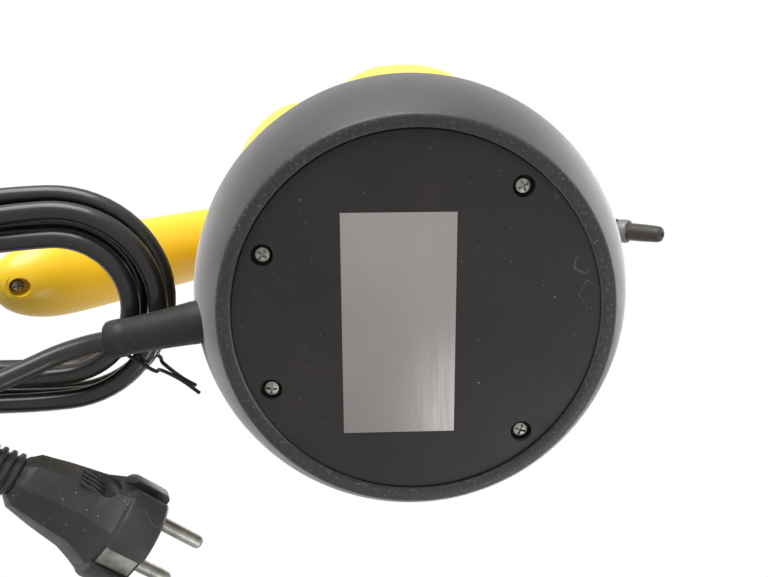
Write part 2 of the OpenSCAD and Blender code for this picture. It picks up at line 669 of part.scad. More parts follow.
module button_spring() color("silver") translate([-87, 0, 156.6]) coil(2.9, 0.45, flange_z - 156.7, 5);

// ---------- spout's fittings ----------

// Steam hose from the valve round the neck to the nozzle
HOSE = [[valve_x, 13.3, valve_z + 13], [valve_x + 1, 18, valve_z + 13.4], [-19, 23, 115],
        [-4, 24, 120], [12, 20, 125], [26, 12, 130], [38, 7, 137], [50, 3, 145], [64, 0, 153],
        [80, 0, 160], [93, 0, 160.5], [101.5, 0, 160]];
hose_r = 3.2;
module steam_hose() color([0.85, 0.85, 0.8]) tube(curve(HOSE, 24), hose_r, 8);

module at_jet(s) translate(jet_at) rotate([0, 90 + jet_slope, 0]) translate([0, 0, s]) children();
jet_base_l = 12;

module nozzle_base() color([0.16, 0.16, 0.17]) at_jet(0) difference() {
    union() {
        translate([0, 0, -3]) cylinder(r = jet_base_r, h = 6);
        translate([0, 0, 3]) cylinder(r1 = jet_base_r, r2 = jet_ring_r - 0.4, h = jet_base_l - 3);
    }
    translate([0, 0, -4]) cylinder(r = jet_hole_r + 1, h = 30);
}

module nozzle_ring() color([0.45, 0.45, 0.46]) at_jet(jet_base_l) difference() {
    cylinder(r = jet_ring_r, h = jet_ring_w);
    translate([0, 0, -1]) cylinder(r = jet_r - 0.6 + fit, h = jet_ring_w + 2);
}

module nozzle_jet() color([0.16, 0.16, 0.17]) at_jet(jet_base_l) difference() {
    rotate_extrude() polygon(concat([[0, 0], [jet_r - 0.6, 0], [jet_r - 0.6, jet_ring_w], [jet_r, jet_ring_w]],
        [for (a = [0:30:90]) [(jet_r - 1.4) * cos(a) + 0.4, jet_ring_w + jet_l - 3 + 3 * sin(a)]],
        [[0, jet_ring_w + jet_l]]));
    translate([0, 0, -1]) cylinder(r = jet_hole_r, h = 40);
}

// Indicator window on the front of the handle's arch
lens_at = [-60.8, 0, 155.6];
lens_lean = 45;
lens_r = 3.4;
module indicator_lens() color([0.9, 0.25, 0.1]) translate(lens_at) rotate([0, lens_lean, 0])
    translate([0, 0, grip_t - wall - 3]) {
        cylinder(r = lens_r, h = 5.4);
        translate([0, 0, 5.4]) cylinder(r1 = lens_r, r2 = lens_r - 1, h = 0.8);
    }
module indicator_lamp() color([0.95, 0.6, 0.4]) translate(lens_at) rotate([0, lens_lean, 0])
    translate([0, 0, grip_t - wall - 9]) cylinder(r = 2.2, h = 6);

// ---------- wiring ----------

// Terminal block on the bowl's floor; its inner face looks at the boiler
block_a = -133;
block_x = 52;
wire_r = 0.9;
module terminal_block() color([0.92, 0.92, 0.9]) rotate([0, 0, block_a]) translate([block_x, -8, floor_top])
    difference() {
        cube([9, 16, 8]);
        for (y = [4, 8, 12]) translate([-1, y, 5]) rotate([0, 90, 0]) cylinder(r = 1.2, h = 12);
    }
// Where wire number i = -1, 0 or 1 leaves the block
function block_wire(i) = let (x = block_x - 0.4, y = 4 * i)
    [x * cos(block_a) - y * sin(block_a), x * sin(block_a) + y * cos(block_a), floor_top + 5];

// From the cord's tail to the block, and from the block to the heating element
WIRES = [[[-46.7, -1.1, 18], [-44.6, -8, 17.2], [-41.4, -17, 15], [-38.6, -27, 12.6], block_wire(-1)],
         [block_wire(0), [-34, -30, 12], [-37.5, -20, 11.6], [-40.5, -13.5, 11], [-38.6, -10.3, 10.4]]];
module live_wires() color([0.45, 0.25, 0.12]) for (W = WIRES) tube(curve(W, 10), wire_r, 6);
module earth_wire() color([0.3, 0.6, 0.2]) tube(curve([block_wire(1), [-30.5, -36.5, 14], [-28.5, -33.5, 20],
    [-25.8, -30.4, 25], [-23.3, -27.8, 27]], 10), wire_r, 6);

// Clamp that holds the cord's tail, on two lugs of the bowl
clamp_x = boot_at[0] + 8;
clamp_y = 9;
clamp_z = floor_top + 6;
clamp_h = 8.6;
module at_clamp(z) for (y = [-clamp_y, clamp_y]) translate([clamp_x, y, z]) children();
module at_boot(s) translate(boot_at) rotate([0, 90, boot_yaw]) translate([0, 0, s]) children();
module cord_clamp() color([0.15, 0.15, 0.16]) difference() {
    translate([clamp_x - 3.5, -clamp_y - 4, clamp_z]) cube([7, 2 * clamp_y + 8, clamp_h]);
    at_clamp(clamp_z - 1) cylinder(r = clamp_pilot_r + loose, h = 12);
    at_boot(-20) cylinder(r = cord_d / 2 + fit, h = 20);
}
module clamp_screws() color("silver") at_clamp(clamp_z + clamp_h)
    mirror([0, 0, 1]) screw(2.4, 1.6, clamp_pilot_r, clamp_h + 4.4);

// ---------- cord outlet, cord and plug ----------

collar_l = 5;
module strain_relief() color([0.1, 0.1, 0.11]) at_boot(0) difference() {
    union() {
        cylinder(r = boot_r1 + 2, h = 1.6);
        cylinder(r = boot_r1, h = boot_sink + 4);
        translate([0, 0, boot_sink + 4]) cylinder(r1 = boot_r1, r2 = boot_r2, h = boot_l - 4);
        translate([0, 0, boot_sink + boot_l - collar_l]) cylinder(r = boot_r2 + 0.6, h = collar_l);
    }
    translate([0, 0, -1]) cylinder(r = cord_d / 2 + fit, h = boot_sink + boot_l - 3);
}

// The cord's tail inside the strain relief and the clamp
tail_l = 14.5;
module cord_tail() color([0.12, 0.12, 0.12]) at_boot(-tail_l)
    cylinder(r = cord_d / 2, h = tail_l + boot_sink + boot_l - 5);

// Point u of the hank in its own flat frame: u counts loops, 0 is the left end of the right-hand run
function fold_r(u) = hank_r - hank_step * (hank_turns / 2 - abs(u - hank_turns / 2));
function climb(u) = hank_layer * min(1, max(0, (u - hank_turns / 2 + 0.25) / 0.25));
function drawn(x) = 1 - hank_waist * (1 + cos(180 * x / hank_run)) / 2;
function hank_xy(f, r) = f < 0.25 ? [-hank_run - r * sin(720 * f), -r * cos(720 * f)]
    : f < 0.5 ? let (x = hank_run * (8 * (f - 0.25) - 1)) [x, r * drawn(x)]
    : f < 0.75 ? [hank_run + r * sin(720 * (f - 0.5)), r * cos(720 * (f - 0.5))]
    : let (x = hank_run * (1 - 8 * (f - 0.75))) [x, -r * drawn(x)];
function hank_flat(u) = let (p = hank_xy(u < 0 ? 0 : u - floor(u), fold_r(max(0, u))))
    [p[0] + (u < 0 ? cord_d : 0), p[1], climb(u)];
// The hank leans on the strain relief: it turns about the lowest point of its far fold
hank_low = hank_run + hank_r;
function hank_place(p) = let (q = p + [hank_low, 0, 0])
    [hank_at[0] - hank_low + q[0] * cos(hank_tilt) - q[2] * sin(hank_tilt), hank_at[1] + q[1],
     cord_d / 2 + 0.1 + q[0] * sin(hank_tilt) + q[2] * cos(hank_tilt)];
HANK = [for (u = concat([-1], steps(0, hank_turns, 24 * hank_turns))) hank_place(hank_flat(u))];
apart = 12;
hank_last = len(HANK) - 1;
hank_gap = min([for (i = [0:hank_last - apart]) for (j = [i + apart:hank_last])
    norm(HANK[i] - HANK[j])]) - cord_d;
echo(hank_gap = hank_gap);
function length(Q) = [for (i = [1:len(Q) - 1]) norm(Q[i] - Q[i - 1])] * [for (i = [1:len(Q) - 1]) 1];

power_line = concat(CORD, [HANK[0]]);
lead_line = concat([HANK[len(HANK) - 1]], LEAD, [plug_at]);
echo(cord_length = length(curve(power_line, 40)) + length(HANK) + length(curve(lead_line, 40)));

cord_rings = 36;
module power_cord() color([0.12, 0.12, 0.12]) outside() tube(curve(power_line, 30), cord_d / 2, 10);
module cord_hank() color([0.12, 0.12, 0.12]) outside() tube(HANK, cord_d / 2, 6);
module plug_lead() color([0.12, 0.12, 0.12]) outside() tube(curve(lead_line, cord_rings), cord_d / 2, 10);

// Wire tie round the near strands of the hank's right fold, with its twisted end
tie_a = 40;
tie_wire = 0.7;
function tie_point(r, z) = hank_place([hank_run + r * sin(90 - tie_a), r * cos(90 - tie_a), z]);
tie_in = 18.4;
tie_out = 40.4;
tie_down = cord_d / 2 + 1.2;
TIE = [[tie_out + 16, 1], [tie_out + 8, 2.5], [tie_out, 0], [tie_out - 3, -tie_down], [tie_in + 3, -tie_down],
       [tie_in, 0], [tie_in, hank_layer], [tie_in + 3, hank_layer + tie_down], [tie_out - 3, hank_layer + tie_down],
       [tie_out, hank_layer], [tie_out + 8, 5], [tie_out + 14, 6]];
module cord_tie() color([0.1, 0.1, 0.1]) outside()
    tube([for (p = curve(TIE, 33)) tie_point(p[0], p[1])], tie_wire, 6);

module at_plug() outside() translate(plug_at) rotate([0, -plug_tilt, plug_yaw]) children();
grip_x0 = plug_sleeve_l;
front_x = plug_len - plug_front_t;
clip_w = 7;

module plug_body() color([0.2, 0.2, 0.21]) at_plug() {
    rotate([0, 90, 0]) {
        cylinder(r1 = 4.6, r2 = 6, h = plug_sleeve_l + 2);
        for (i = [0:4]) translate([0, 0, 2 + 3 * i]) cylinder(r = 6.2 + 0.3 * i, h = 1.6);
    }
    difference() {
        union() {
            hull() for (y = [-1, 1]) {
                translate([grip_x0, y * 5, 0]) rotate([0, 90, 0]) cylinder(r = 8, h = 2, $fn = 6);
                translate([front_x - 1, y * 8, 0]) rotate([0, 90, 0]) cylinder(r = 10, h = 2, $fn = 6);
            }
            translate([front_x, 0, 0]) rotate([0, 90, 0]) cylinder(r = plug_r, h = plug_front_t, $fn = 64);
        }
        // Grooves for the earth clips
        for (z = [-1, 1]) translate([front_x - 6, -clip_w / 2 - 1, z * (plug_r + 6) - 9.5])
            cube([40, clip_w + 2, 19]);
    }
}

module plug_pins() color([0.8, 0.8, 0.78])
    at_plug() for (y = [-1, 1]) translate([plug_len, y * pin_pitch / 2, 0])
    rotate([0, 90, 0]) {
        cylinder(r = pin_r, h = pin_l - 1.5);
        translate([0, 0, pin_l - 1.5]) cylinder(r1 = pin_r, r2 = pin_r - 1, h = 1.5);
    }

module plug_earth_clips() color([0.8, 0.8, 0.78]) at_plug() for (z = [-1, 1])
    translate([front_x + 1, -clip_w / 2, z * (plug_r - 3.2) - 0.3]) cube([plug_front_t - 2, clip_w, 0.6]);

bowl();
base_plate();
base_screws();
rating_label();
upper_shell();
spout_shell();
handle_top();
handle_cover();
handle_screws();
boiler_lower();
boiler_upper();
boiler_gasket();
boiler_screws();
boiler_feet_screws();
heater_element();
thermostat();
thermal_fuse();
filler_neck();
filler_collar();
cap_shell();
cap_core();
cap_gasket();
relief_plunger();
relief_spring();
relief_nut();
valve_body();
valve_plunger();
valve_spring();
valve_nut();
rocker_lever();
rocker_pin();
steam_button();
button_spring();
steam_hose();
nozzle_base();
nozzle_ring();
nozzle_jet();
indicator_lens();
indicator_lamp();
terminal_block();
live_wires();
earth_wire();
cord_clamp();
clamp_screws();
strain_relief();
cord_tail();
power_cord();
cord_hank();
plug_lead();
cord_tie();
plug_body();
plug_pins();
plug_earth_clips();
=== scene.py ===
"""Looks of a hand-held steam cleaner for wallpaper and tiles.

The file is laid out as an add-on: sizes and colours are properties, each piece has an operator,
and a panel in the sidebar lists them. Run as a script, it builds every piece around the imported
model. +X points to the nozzle and +Z up. Shapes are written in millimetres and scaled by MM.
"""

import json
import math
from types import SimpleNamespace

import bpy
from mathutils import Matrix, Vector


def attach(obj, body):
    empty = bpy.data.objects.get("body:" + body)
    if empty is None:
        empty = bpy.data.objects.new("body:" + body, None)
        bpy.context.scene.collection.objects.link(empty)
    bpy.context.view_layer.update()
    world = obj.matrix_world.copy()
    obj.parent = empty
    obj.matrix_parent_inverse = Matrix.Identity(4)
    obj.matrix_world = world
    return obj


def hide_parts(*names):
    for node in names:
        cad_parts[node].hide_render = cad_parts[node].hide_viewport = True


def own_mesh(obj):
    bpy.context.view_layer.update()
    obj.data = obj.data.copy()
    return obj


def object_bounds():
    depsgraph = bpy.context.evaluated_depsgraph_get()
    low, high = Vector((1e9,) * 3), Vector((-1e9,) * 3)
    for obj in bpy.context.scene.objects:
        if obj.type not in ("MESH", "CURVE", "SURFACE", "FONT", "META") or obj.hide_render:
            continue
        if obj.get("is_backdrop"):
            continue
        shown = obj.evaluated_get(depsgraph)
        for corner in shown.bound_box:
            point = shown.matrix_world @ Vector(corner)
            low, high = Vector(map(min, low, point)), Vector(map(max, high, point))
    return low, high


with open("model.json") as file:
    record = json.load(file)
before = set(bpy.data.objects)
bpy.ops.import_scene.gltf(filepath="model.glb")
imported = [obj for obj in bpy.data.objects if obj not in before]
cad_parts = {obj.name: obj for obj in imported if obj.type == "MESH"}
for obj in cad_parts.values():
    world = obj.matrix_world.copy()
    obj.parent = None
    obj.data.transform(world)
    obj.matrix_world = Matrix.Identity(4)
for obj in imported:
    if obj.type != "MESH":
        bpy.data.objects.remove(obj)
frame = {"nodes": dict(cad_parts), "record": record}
CAD_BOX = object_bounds()
MM = 0.001

bl_info = {
    "name": "Steam cleaner",
    "version": (1, 0, 0),
    "blender": (4, 5, 0),
    "location": "3D View > Sidebar > Steamer",
    "description": "Models and finishes a hand-held steam cleaner, piece by piece",
    "category": "Object",
}


# ---------- sizes and colours ----------


def length_property(name, description, millimetres):
    """A length that the user can change, with its default in millimetres."""
    return bpy.props.FloatProperty(
        name=name, description=description, default=millimetres * MM, unit="LENGTH"
    )


def colour_property(name, description, colour):
    """A colour that the user can change."""
    return bpy.props.FloatVectorProperty(
        name=name, description=description, default=colour, subtype="COLOR", size=3, min=0, max=1
    )


class SteamerSizes(bpy.types.PropertyGroup):
    ring: length_property("Ring", "Outer radius of the ring that the body stands on", 61)
    recess: length_property("Recess", "Radius of the recess that takes the base plate", 57.2)
    bowl: length_property("Bowl", "Largest radius of the bowl", 74.2)
    wide: length_property("Widest height", "Height at which the bowl is widest", 37)
    seam: length_property("Seam height", "Height of the seam between bowl and upper shell", 40)
    wall: length_property("Wall", "Wall thickness of the moulded shells", 2.4)
    dome: length_property("Dome height", "Height of the dome if it closed to a point", 118)
    swell: length_property("Lobe swell", "How far the side lobes swell out", 5.6)
    lobe: length_property("Lobe height", "Height over which a side lobe fades out", 70)
    grip_wide: length_property("Grip width", "Half of the handle's width", 17.2)
    grip_thick: length_property("Grip thickness", "Half of the handle's thickness", 13)
    cord: length_property("Cord", "Diameter of the power cord", 6.6)
    plug: length_property("Plug", "Radius of the plug's front", 18.5)


class SteamerColours(bpy.types.PropertyGroup):
    shell: colour_property("Shell", "Yellow of upper shell, handle and spout", (0.86, 0.545, 0.02))
    bowl: colour_property("Bowl", "Black of the lower bowl", (0.027, 0.0245, 0.023))
    plate: colour_property("Plate", "Black of the base plate", (0.02, 0.0168, 0.0165))
    sticker: colour_property("Sticker", "Silver of the blank rating sticker", (0.27, 0.255, 0.247))
    rubber: colour_property("Rubber", "Black of cord and strain relief", (0.013, 0.012, 0.011))
    plug: colour_property("Plug", "Dark grey of the plug", (0.033, 0.0315, 0.031))


def sizes_of(context):
    """The scene's sizes in millimetres."""
    group = context.scene.steamer_sizes
    return SimpleNamespace(**{name: getattr(group, name) / MM for name in group.__annotations__})


# ---------- modelling by hand ----------


def pick(o):
    """Deselects everything, then selects o and makes it active."""
    bpy.ops.object.select_all(action="DESELECT")
    o.select_set(True)
    bpy.context.view_layer.objects.active = o
    return o


def mode(name):
    """Switches the active object to OBJECT or EDIT mode."""
    bpy.ops.object.mode_set(mode=name)


def edit_all():
    """Goes into edit mode with everything selected."""
    mode("EDIT")
    bpy.ops.mesh.select_all(action="SELECT")


def select_parts(o, test, kind="VERT"):
    """Leaves o in edit mode with those vertices, or faces, selected that pass the test."""
    pick(o)
    mode("EDIT")
    bpy.ops.mesh.select_mode(type=kind)
    bpy.ops.mesh.select_all(action="DESELECT")
    mode("OBJECT")
    for part in o.data.vertices if kind == "VERT" else o.data.polygons:
        part.select = bool(test(part))
    mode("EDIT")


def apply_place(o):
    """Moves the object's place, turn and size into its mesh."""
    pick(o)
    bpy.ops.object.transform_apply(location=True, rotation=True, scale=True)
    return o


def lay(o, at, turn=(0, 0, 0)):
    """Puts o at a point, in millimetres, turned by Euler angles in degrees."""
    o.location = Vector(at) * MM
    o.rotation_euler = [math.radians(a) for a in turn]
    return apply_place(o)


def shaped(o, kind, **settings):
    """Adds a modifier, sets it and applies it."""
    pick(o)
    modifier = o.modifiers.new(kind.title(), kind)
    for name, value in settings.items():
        setattr(modifier, name, value)
    bpy.ops.object.modifier_apply(modifier=modifier.name)
    return o


def bevelled(o, width, segments=2, angle=30):
    """Rounds the edges that are sharper than the angle. The width is in millimetres."""
    return shaped(
        o, "BEVEL", width=width * MM, segments=segments, limit_method="ANGLE",
        angle_limit=math.radians(angle),
    )


def cut(o, *tools):
    """Takes the tools' shapes out of o and removes the tools."""
    for tool in tools:
        shaped(o, "BOOLEAN", operation="DIFFERENCE", object=tool, solver="EXACT")
        bpy.data.objects.remove(tool)
    return o


def joined(first, *others):
    """Joins the others into the first piece."""
    pick(first)
    for o in others:
        o.select_set(True)
    bpy.ops.object.join()
    return first


def tidy_mesh(o):
    """Merges the doubles of o in edit mode, turns its faces outwards and leaves the mode."""
    bpy.ops.mesh.select_all(action="SELECT")
    bpy.ops.mesh.remove_doubles(threshold=1e-6)
    bpy.ops.mesh.normals_make_consistent(inside=False)
    mode("OBJECT")
    return o


def start_ring(name, sides, half_x, half_y, at, pitch=0.0):
    """An open ring of points, in edit mode, from which rings are extruded."""
    bpy.ops.object.select_all(action="DESELECT")
    bpy.ops.mesh.primitive_circle_add(vertices=sides, radius=1, fill_type="NOTHING")
    o = bpy.context.object
    o.name = name
    o.scale = (half_x * MM, half_y * MM, 1)
    o.rotation_euler = (0, pitch, 0)
    o.location = Vector(at) * MM
    apply_place(o)
    edit_all()
    return o


def next_ring(move, centre, share=1.0, turn=0.0):
    """Extrudes the selected ring by a move, then turns it about Y and sizes it about its centre."""
    bpy.ops.mesh.extrude_region_move(TRANSFORM_OT_translate={"value": Vector(move) * MM})
    centre = Vector(centre) * MM
    if abs(turn) > 1e-6:
        # Without a window, transform.rotate turns the other way
        bpy.ops.transform.rotate(value=-turn, orient_axis="Y", center_override=centre)
    if abs(share - 1) > 1e-6:
        bpy.ops.transform.resize(value=(share, share, share), center_override=centre)


def next_level(z0, z1, share_x, share_y):
    """Extrudes the selected ring from one height to the next and sizes it about the axis."""
    bpy.ops.mesh.extrude_region_move(TRANSFORM_OT_translate={"value": (0, 0, (z1 - z0) * MM)})
    if max(abs(share_x - 1), abs(share_y - 1)) > 1e-7:
        bpy.ops.transform.resize(value=(share_x, share_y, 1), center_override=(0, 0, z1 * MM))


def turned(name, profile, sides=96):
    """A turned piece about Z through (radius, height) points. A radius of 0 closes an end."""
    start = profile[0]
    ring = profile if start[0] else profile[1:]
    radius, height = ring[0]
    o = start_ring(name, sides, radius, radius, (0, 0, height))
    for (r0, z0), (r1, z1) in zip(ring, ring[1:]):
        next_level(z0, z1, r1 / r0 if r1 else 1, r1 / r0 if r1 else 1)
        if r1 == 0:
            bpy.ops.mesh.merge(type="CENTER")
    if start[0] == 0:
        mode("OBJECT")
        select_parts(o, lambda vertex: vertex.index < sides)
        next_level(height, start[1], 1, 1)
        bpy.ops.mesh.merge(type="CENTER")
    return tidy_mesh(o)


def rod(name, radius, low, high, sides=48):
    """A closed round rod along Z."""
    return turned(name, [(0, low), (radius, low), (radius, high), (0, high)], sides)


def pipe(name, inner, outer, low, high):
    """A closed pipe along Z."""
    line = [(inner, low), (outer, low), (outer, high), (inner, high), (inner, low)]
    return turned(name, line, 32)


def bored(o, radius, low, high, at, turn=(0, 0, 0), sides=48):
    """Takes a round hole out of o, along the Z of a place and turn."""
    return cut(o, lay(rod("bore", radius, low, high, sides), at, turn))


def block(name, low, high):
    """A closed block between two corners, in millimetres."""
    bpy.ops.object.select_all(action="DESELECT")
    bpy.ops.mesh.primitive_cube_add(size=1)
    o = bpy.context.object
    o.name = name
    low, high = Vector(low), Vector(high)
    o.scale = (high - low) * MM
    o.location = (low + high) / 2 * MM
    return apply_place(o)


def fused(first, *others):
    """Unites closed pieces into one closed shape and removes the others."""
    for o in others:
        shaped(first, "BOOLEAN", operation="UNION", object=o, solver="EXACT")
        bpy.data.objects.remove(o)
    return first


def repeated(o, places, turns=None):
    """Copies of o at several places, each turned about Z, joined into one piece; o goes."""
    made = []
    for at, turn in zip(places, turns or [0] * len(places)):
        pick(o)
        bpy.ops.object.duplicate(linked=False)
        made.append(lay(bpy.context.object, at, (0, 0, turn)))
    name = o.name
    bpy.data.objects.remove(o)
    whole = joined(*made)
    whole.name = name
    return whole


def outline(name, sides, spread=0.0):
    """A flat outline to stack layers on: a polygon with flats on its axes, pulled apart along X."""
    bpy.ops.object.select_all(action="DESELECT")
    bpy.ops.mesh.primitive_circle_add(
        vertices=sides, radius=1, fill_type="NOTHING", rotation=(0, 0, math.pi / sides)
    )
    o = apply_place(bpy.context.object)
    o.name = name
    if spread:
        for side in (1, -1):
            select_parts(o, lambda vertex: vertex.co.x * side > 0)
            bpy.ops.transform.translate(value=(spread * side, 0, 0))
            mode("OBJECT")
    return o


def stacked(o, layers):
    """Extrudes an outline through layers (half along X, half along Y, height) and closes it."""
    half_x, half_y, height = layers[0]
    o.scale = (2 * half_x * MM / o.dimensions.x, 2 * half_y * MM / o.dimensions.y, 1)
    o.location = (0, 0, height * MM)
    apply_place(o)
    edit_all()
    for (x0, y0, z0), (x1, y1, z1) in zip(layers, layers[1:]):
        next_level(z0, z1, x1 / x0, y1 / y0)
    bpy.ops.mesh.select_all(action="SELECT")
    bpy.ops.mesh.fill_holes(sides=0)
    return tidy_mesh(o)


def swept(name, stations, thick, wide, sides):
    """A tube through stations (x, z, pitch, share) in the XZ plane, left open and in edit mode."""
    x, z, pitch, share = stations[0]
    o = start_ring(name, sides, thick * share, wide * share, (x, 0, z), pitch)
    for (x0, z0, p0, k0), (x1, z1, p1, k1) in zip(stations, stations[1:]):
        next_ring((x1 - x0, 0, z1 - z0), (x1, 0, z1), k1 / k0, p1 - p0)
    return o


# ---------- lines and curves ----------


def spline_point(points, u):
    """The point at u, from 0 to the number of points less 1, on the smooth curve through them."""
    i = min(int(u), len(points) - 2)
    t = u - i
    b, c = points[i], points[i + 1]
    a = points[i - 1] if i > 0 else 2 * b - c
    d = points[i + 2] if i + 2 < len(points) else 2 * c - b
    return 0.5 * (2 * b + (c - a) * t + (2 * a - 5 * b + 4 * c - d) * t * t
                  + (3 * b - a - 3 * c + d) * t ** 3)


def spline(points, count):
    """count + 1 points along the smooth curve through the given ones."""
    points = [Vector(p) for p in points]
    last = len(points) - 1
    return [spline_point(points, last * i / count) for i in range(count + 1)]


def steps(low, high, count):
    """count + 1 even steps from low to high."""
    return [low + (high - low) * i / count for i in range(count + 1)]


def on_circle(radius, degrees, height=0.0):
    """The point at an angle from the front on a level circle about the body's axis."""
    angle = math.radians(degrees)
    return (radius * math.cos(angle), radius * math.sin(angle), height)


def wire(name, points, radius, sides=12):
    """A round curve through points in millimetres, as one open spline."""
    data = bpy.data.curves.new(name, "CURVE")
    data.dimensions = "3D"
    data.bevel_depth = radius * MM
    data.bevel_resolution = max(1, sides // 4 - 1)
    data.use_fill_caps = True
    line = data.splines.new("POLY")
    line.points.add(len(points) - 1)
    for place, point in zip(line.points, points):
        place.co = (*(Vector(point) * MM), 1)
    line.use_smooth = True
    o = bpy.data.objects.new(name, data)
    bpy.context.scene.collection.objects.link(o)
    return o


# ---------- finishes ----------


class Recipe:
    """A Principled material in the making, with short names for the nodes of its patterns."""

    def __init__(self, name, **sockets):
        self.slot = name
        self.material = bpy.data.materials.new("finish_" + name)
        self.material.use_nodes = True
        self.tree = self.material.node_tree
        self.shader = self.tree.nodes["Principled BSDF"]
        self.place = self.add("ShaderNodeTexCoord").outputs["Object"]
        for socket, value in sockets.items():
            self.shader.inputs[socket.replace("_", " ")].default_value = value

    def add(self, kind, inputs=None, **settings):
        """Adds a node; inputs are values or sockets by name or number."""
        node = self.tree.nodes.new(kind)
        for name, value in settings.items():
            setattr(node, name, value)
        for name, value in (inputs or {}).items():
            if isinstance(value, bpy.types.NodeSocket):
                self.tree.links.new(value, node.inputs[name])
            else:
                node.inputs[name].default_value = value
        return node

    def into(self, socket, output):
        self.tree.links.new(output, self.shader.inputs[socket])

    def noise(self, scale, detail=2.0, stretch=None, distortion=0.0):
        where = self.place
        if stretch:
            where = self.add("ShaderNodeMapping", {"Vector": where, "Scale": stretch}).outputs[0]
        settings = {"Vector": where, "Scale": scale, "Detail": detail, "Distortion": distortion}
        return self.add("ShaderNodeTexNoise", settings).outputs["Fac"]

    def window(self, value, low, high, to_low=0.0, to_high=1.0):
        """Maps low to high onto two other values, and stops there."""
        limits = {"From Min": low, "From Max": high, "To Min": to_low, "To Max": to_high}
        return self.add("ShaderNodeMapRange", {"Value": value, **limits}).outputs[0]

    def maths(self, operation, a, b=0.0):
        return self.add("ShaderNodeMath", {0: a, 1: b}, operation=operation).outputs[0]

    def mix(self, factor, a, b):
        """A colour between a and b; each is a colour or a socket."""
        a, b = (c if isinstance(c, bpy.types.NodeSocket) else (*c, 1) for c in (a, b))
        return self.add("ShaderNodeMix", {0: factor, 6: a, 7: b}, data_type="RGBA").outputs[2]

    def specks(self, scale, size, share):
        """Mask of small grains: their cells per metre, their size in cells and how many show."""
        cells = self.add("ShaderNodeTexVoronoi", {"Vector": self.place, "Scale": scale})
        dots = self.window(cells.outputs["Distance"], size, size * 0.6)
        chosen = self.add("ShaderNodeSeparateColor", {0: cells.outputs["Color"]}).outputs[0]
        return self.maths("MULTIPLY", dots, self.maths("GREATER_THAN", chosen, 1 - share))

    def scratches(self, scale, width, patch_scale):
        """Mask of fine curved lines that show only in patches."""
        field = self.noise(scale, 1.0, distortion=0.6)
        line = self.window(self.maths("ABSOLUTE", self.maths("SUBTRACT", field, 0.5)), width, 0)
        return self.maths("MULTIPLY", line, self.window(self.noise(patch_scale), 0.58, 0.66))

    def clouds(self, colour, scale, detail, low, high, dark, light):
        """Slow mottling of a colour between two tones of it."""
        cloud = self.window(self.noise(scale, detail), low, high)
        return self.mix(cloud, tone(colour, dark), tone(colour, light))

    def marked(self, base, mask, share, colour):
        """The base with a share of a colour where the mask is 1."""
        return self.mix(self.maths("MULTIPLY", mask, share), base, colour)

    def roughened(self, scale, detail, low, high):
        """A roughness that wanders between two values."""
        self.into("Roughness", self.window(self.noise(scale, detail), 0.3, 0.7, low, high))

    def done(self, base, height, strength, depth):
        """Puts in the colour and a bump from a height, its depth in millimetres."""
        bump = {"Height": height, "Strength": strength, "Distance": depth * MM}
        self.into("Normal", self.add("ShaderNodeBump", bump).outputs[0])
        self.into("Base Color", base)
        return self


def tone(colour, share):
    """A lighter or darker tone of a colour."""
    return tuple(min(1.0, c * share) for c in colour)


def moulded(name, colour, roughness, grain=0.04, mottle=0.16, dust=0.0, scratch=0.0, **sockets):
    """Moulded plastic or rubber with a fine grain, slow mottling, and some dust and scratches."""
    m = Recipe(name, **sockets)
    base = m.clouds(colour, 45, 3, 0.35, 0.65, 1 - mottle, 1 + mottle)
    if dust:
        base = m.marked(base, m.specks(900, 0.2, 0.06), dust, (0.45, 0.44, 0.42))
        base = m.marked(base, m.specks(300, 0.11, 0.05), dust, (0.55, 0.54, 0.52))
    if scratch:
        base = m.marked(base, m.scratches(38, 0.0022, 26), scratch, (0.3, 0.3, 0.29))
    m.roughened(120, 4, roughness - 0.05, roughness + 0.05)
    return m.done(base, m.noise(2600, 2), 0.6, grain)


def metal(name, colour, roughness, brush=(1, 1, 1), grain=0.012, tarnish=0.2):
    """Metal with fine brush marks or casting grain and slight tarnish."""
    m = Recipe(name, Metallic=1.0)
    marks = m.noise(2200, 3, stretch=brush)
    m.into("Roughness", m.window(marks, 0.25, 0.75, roughness * 0.75, roughness * 1.3))
    return m.done(m.clouds(colour, 160, 4, 0.4, 0.7, 1, 1 - tarnish), marks, 0.5, grain)


def bowl_finish(colour):
    """The bowl's black, worn to grey specks on the ring that it stands on."""
    m = Recipe("black_shell", Specular_IOR_Level=0.32, Sheen_Weight=0.6, Sheen_Roughness=0.42)
    height = m.add("ShaderNodeSeparateXYZ", {0: m.place}).outputs[2]
    low = m.window(height, 3.2 * MM, 0.4 * MM)
    base = m.mix(low, m.clouds(colour, 30, 3, 0.35, 0.65, 0.88, 1.14), tone(colour, 0.62))
    worn = m.maths("MULTIPLY", low, m.window(m.noise(900, 4), 0.56, 0.68))
    base = m.marked(base, worn, 0.3, (0.16, 0.155, 0.15))
    chips = m.maths("MULTIPLY", low, m.specks(1100, 0.26, 0.12))
    chips = m.maths("MULTIPLY", chips, m.window(m.noise(70, 2), 0.42, 0.62))
    base = m.marked(base, chips, 0.5, (0.45, 0.44, 0.42))
    base = m.marked(base, m.specks(430, 0.08, 0.02), 0.3, (0.4, 0.39, 0.37))
    m.roughened(150, 4, 0.43, 0.53)
    return m.done(base, m.noise(2400, 2), 0.55, 0.035)


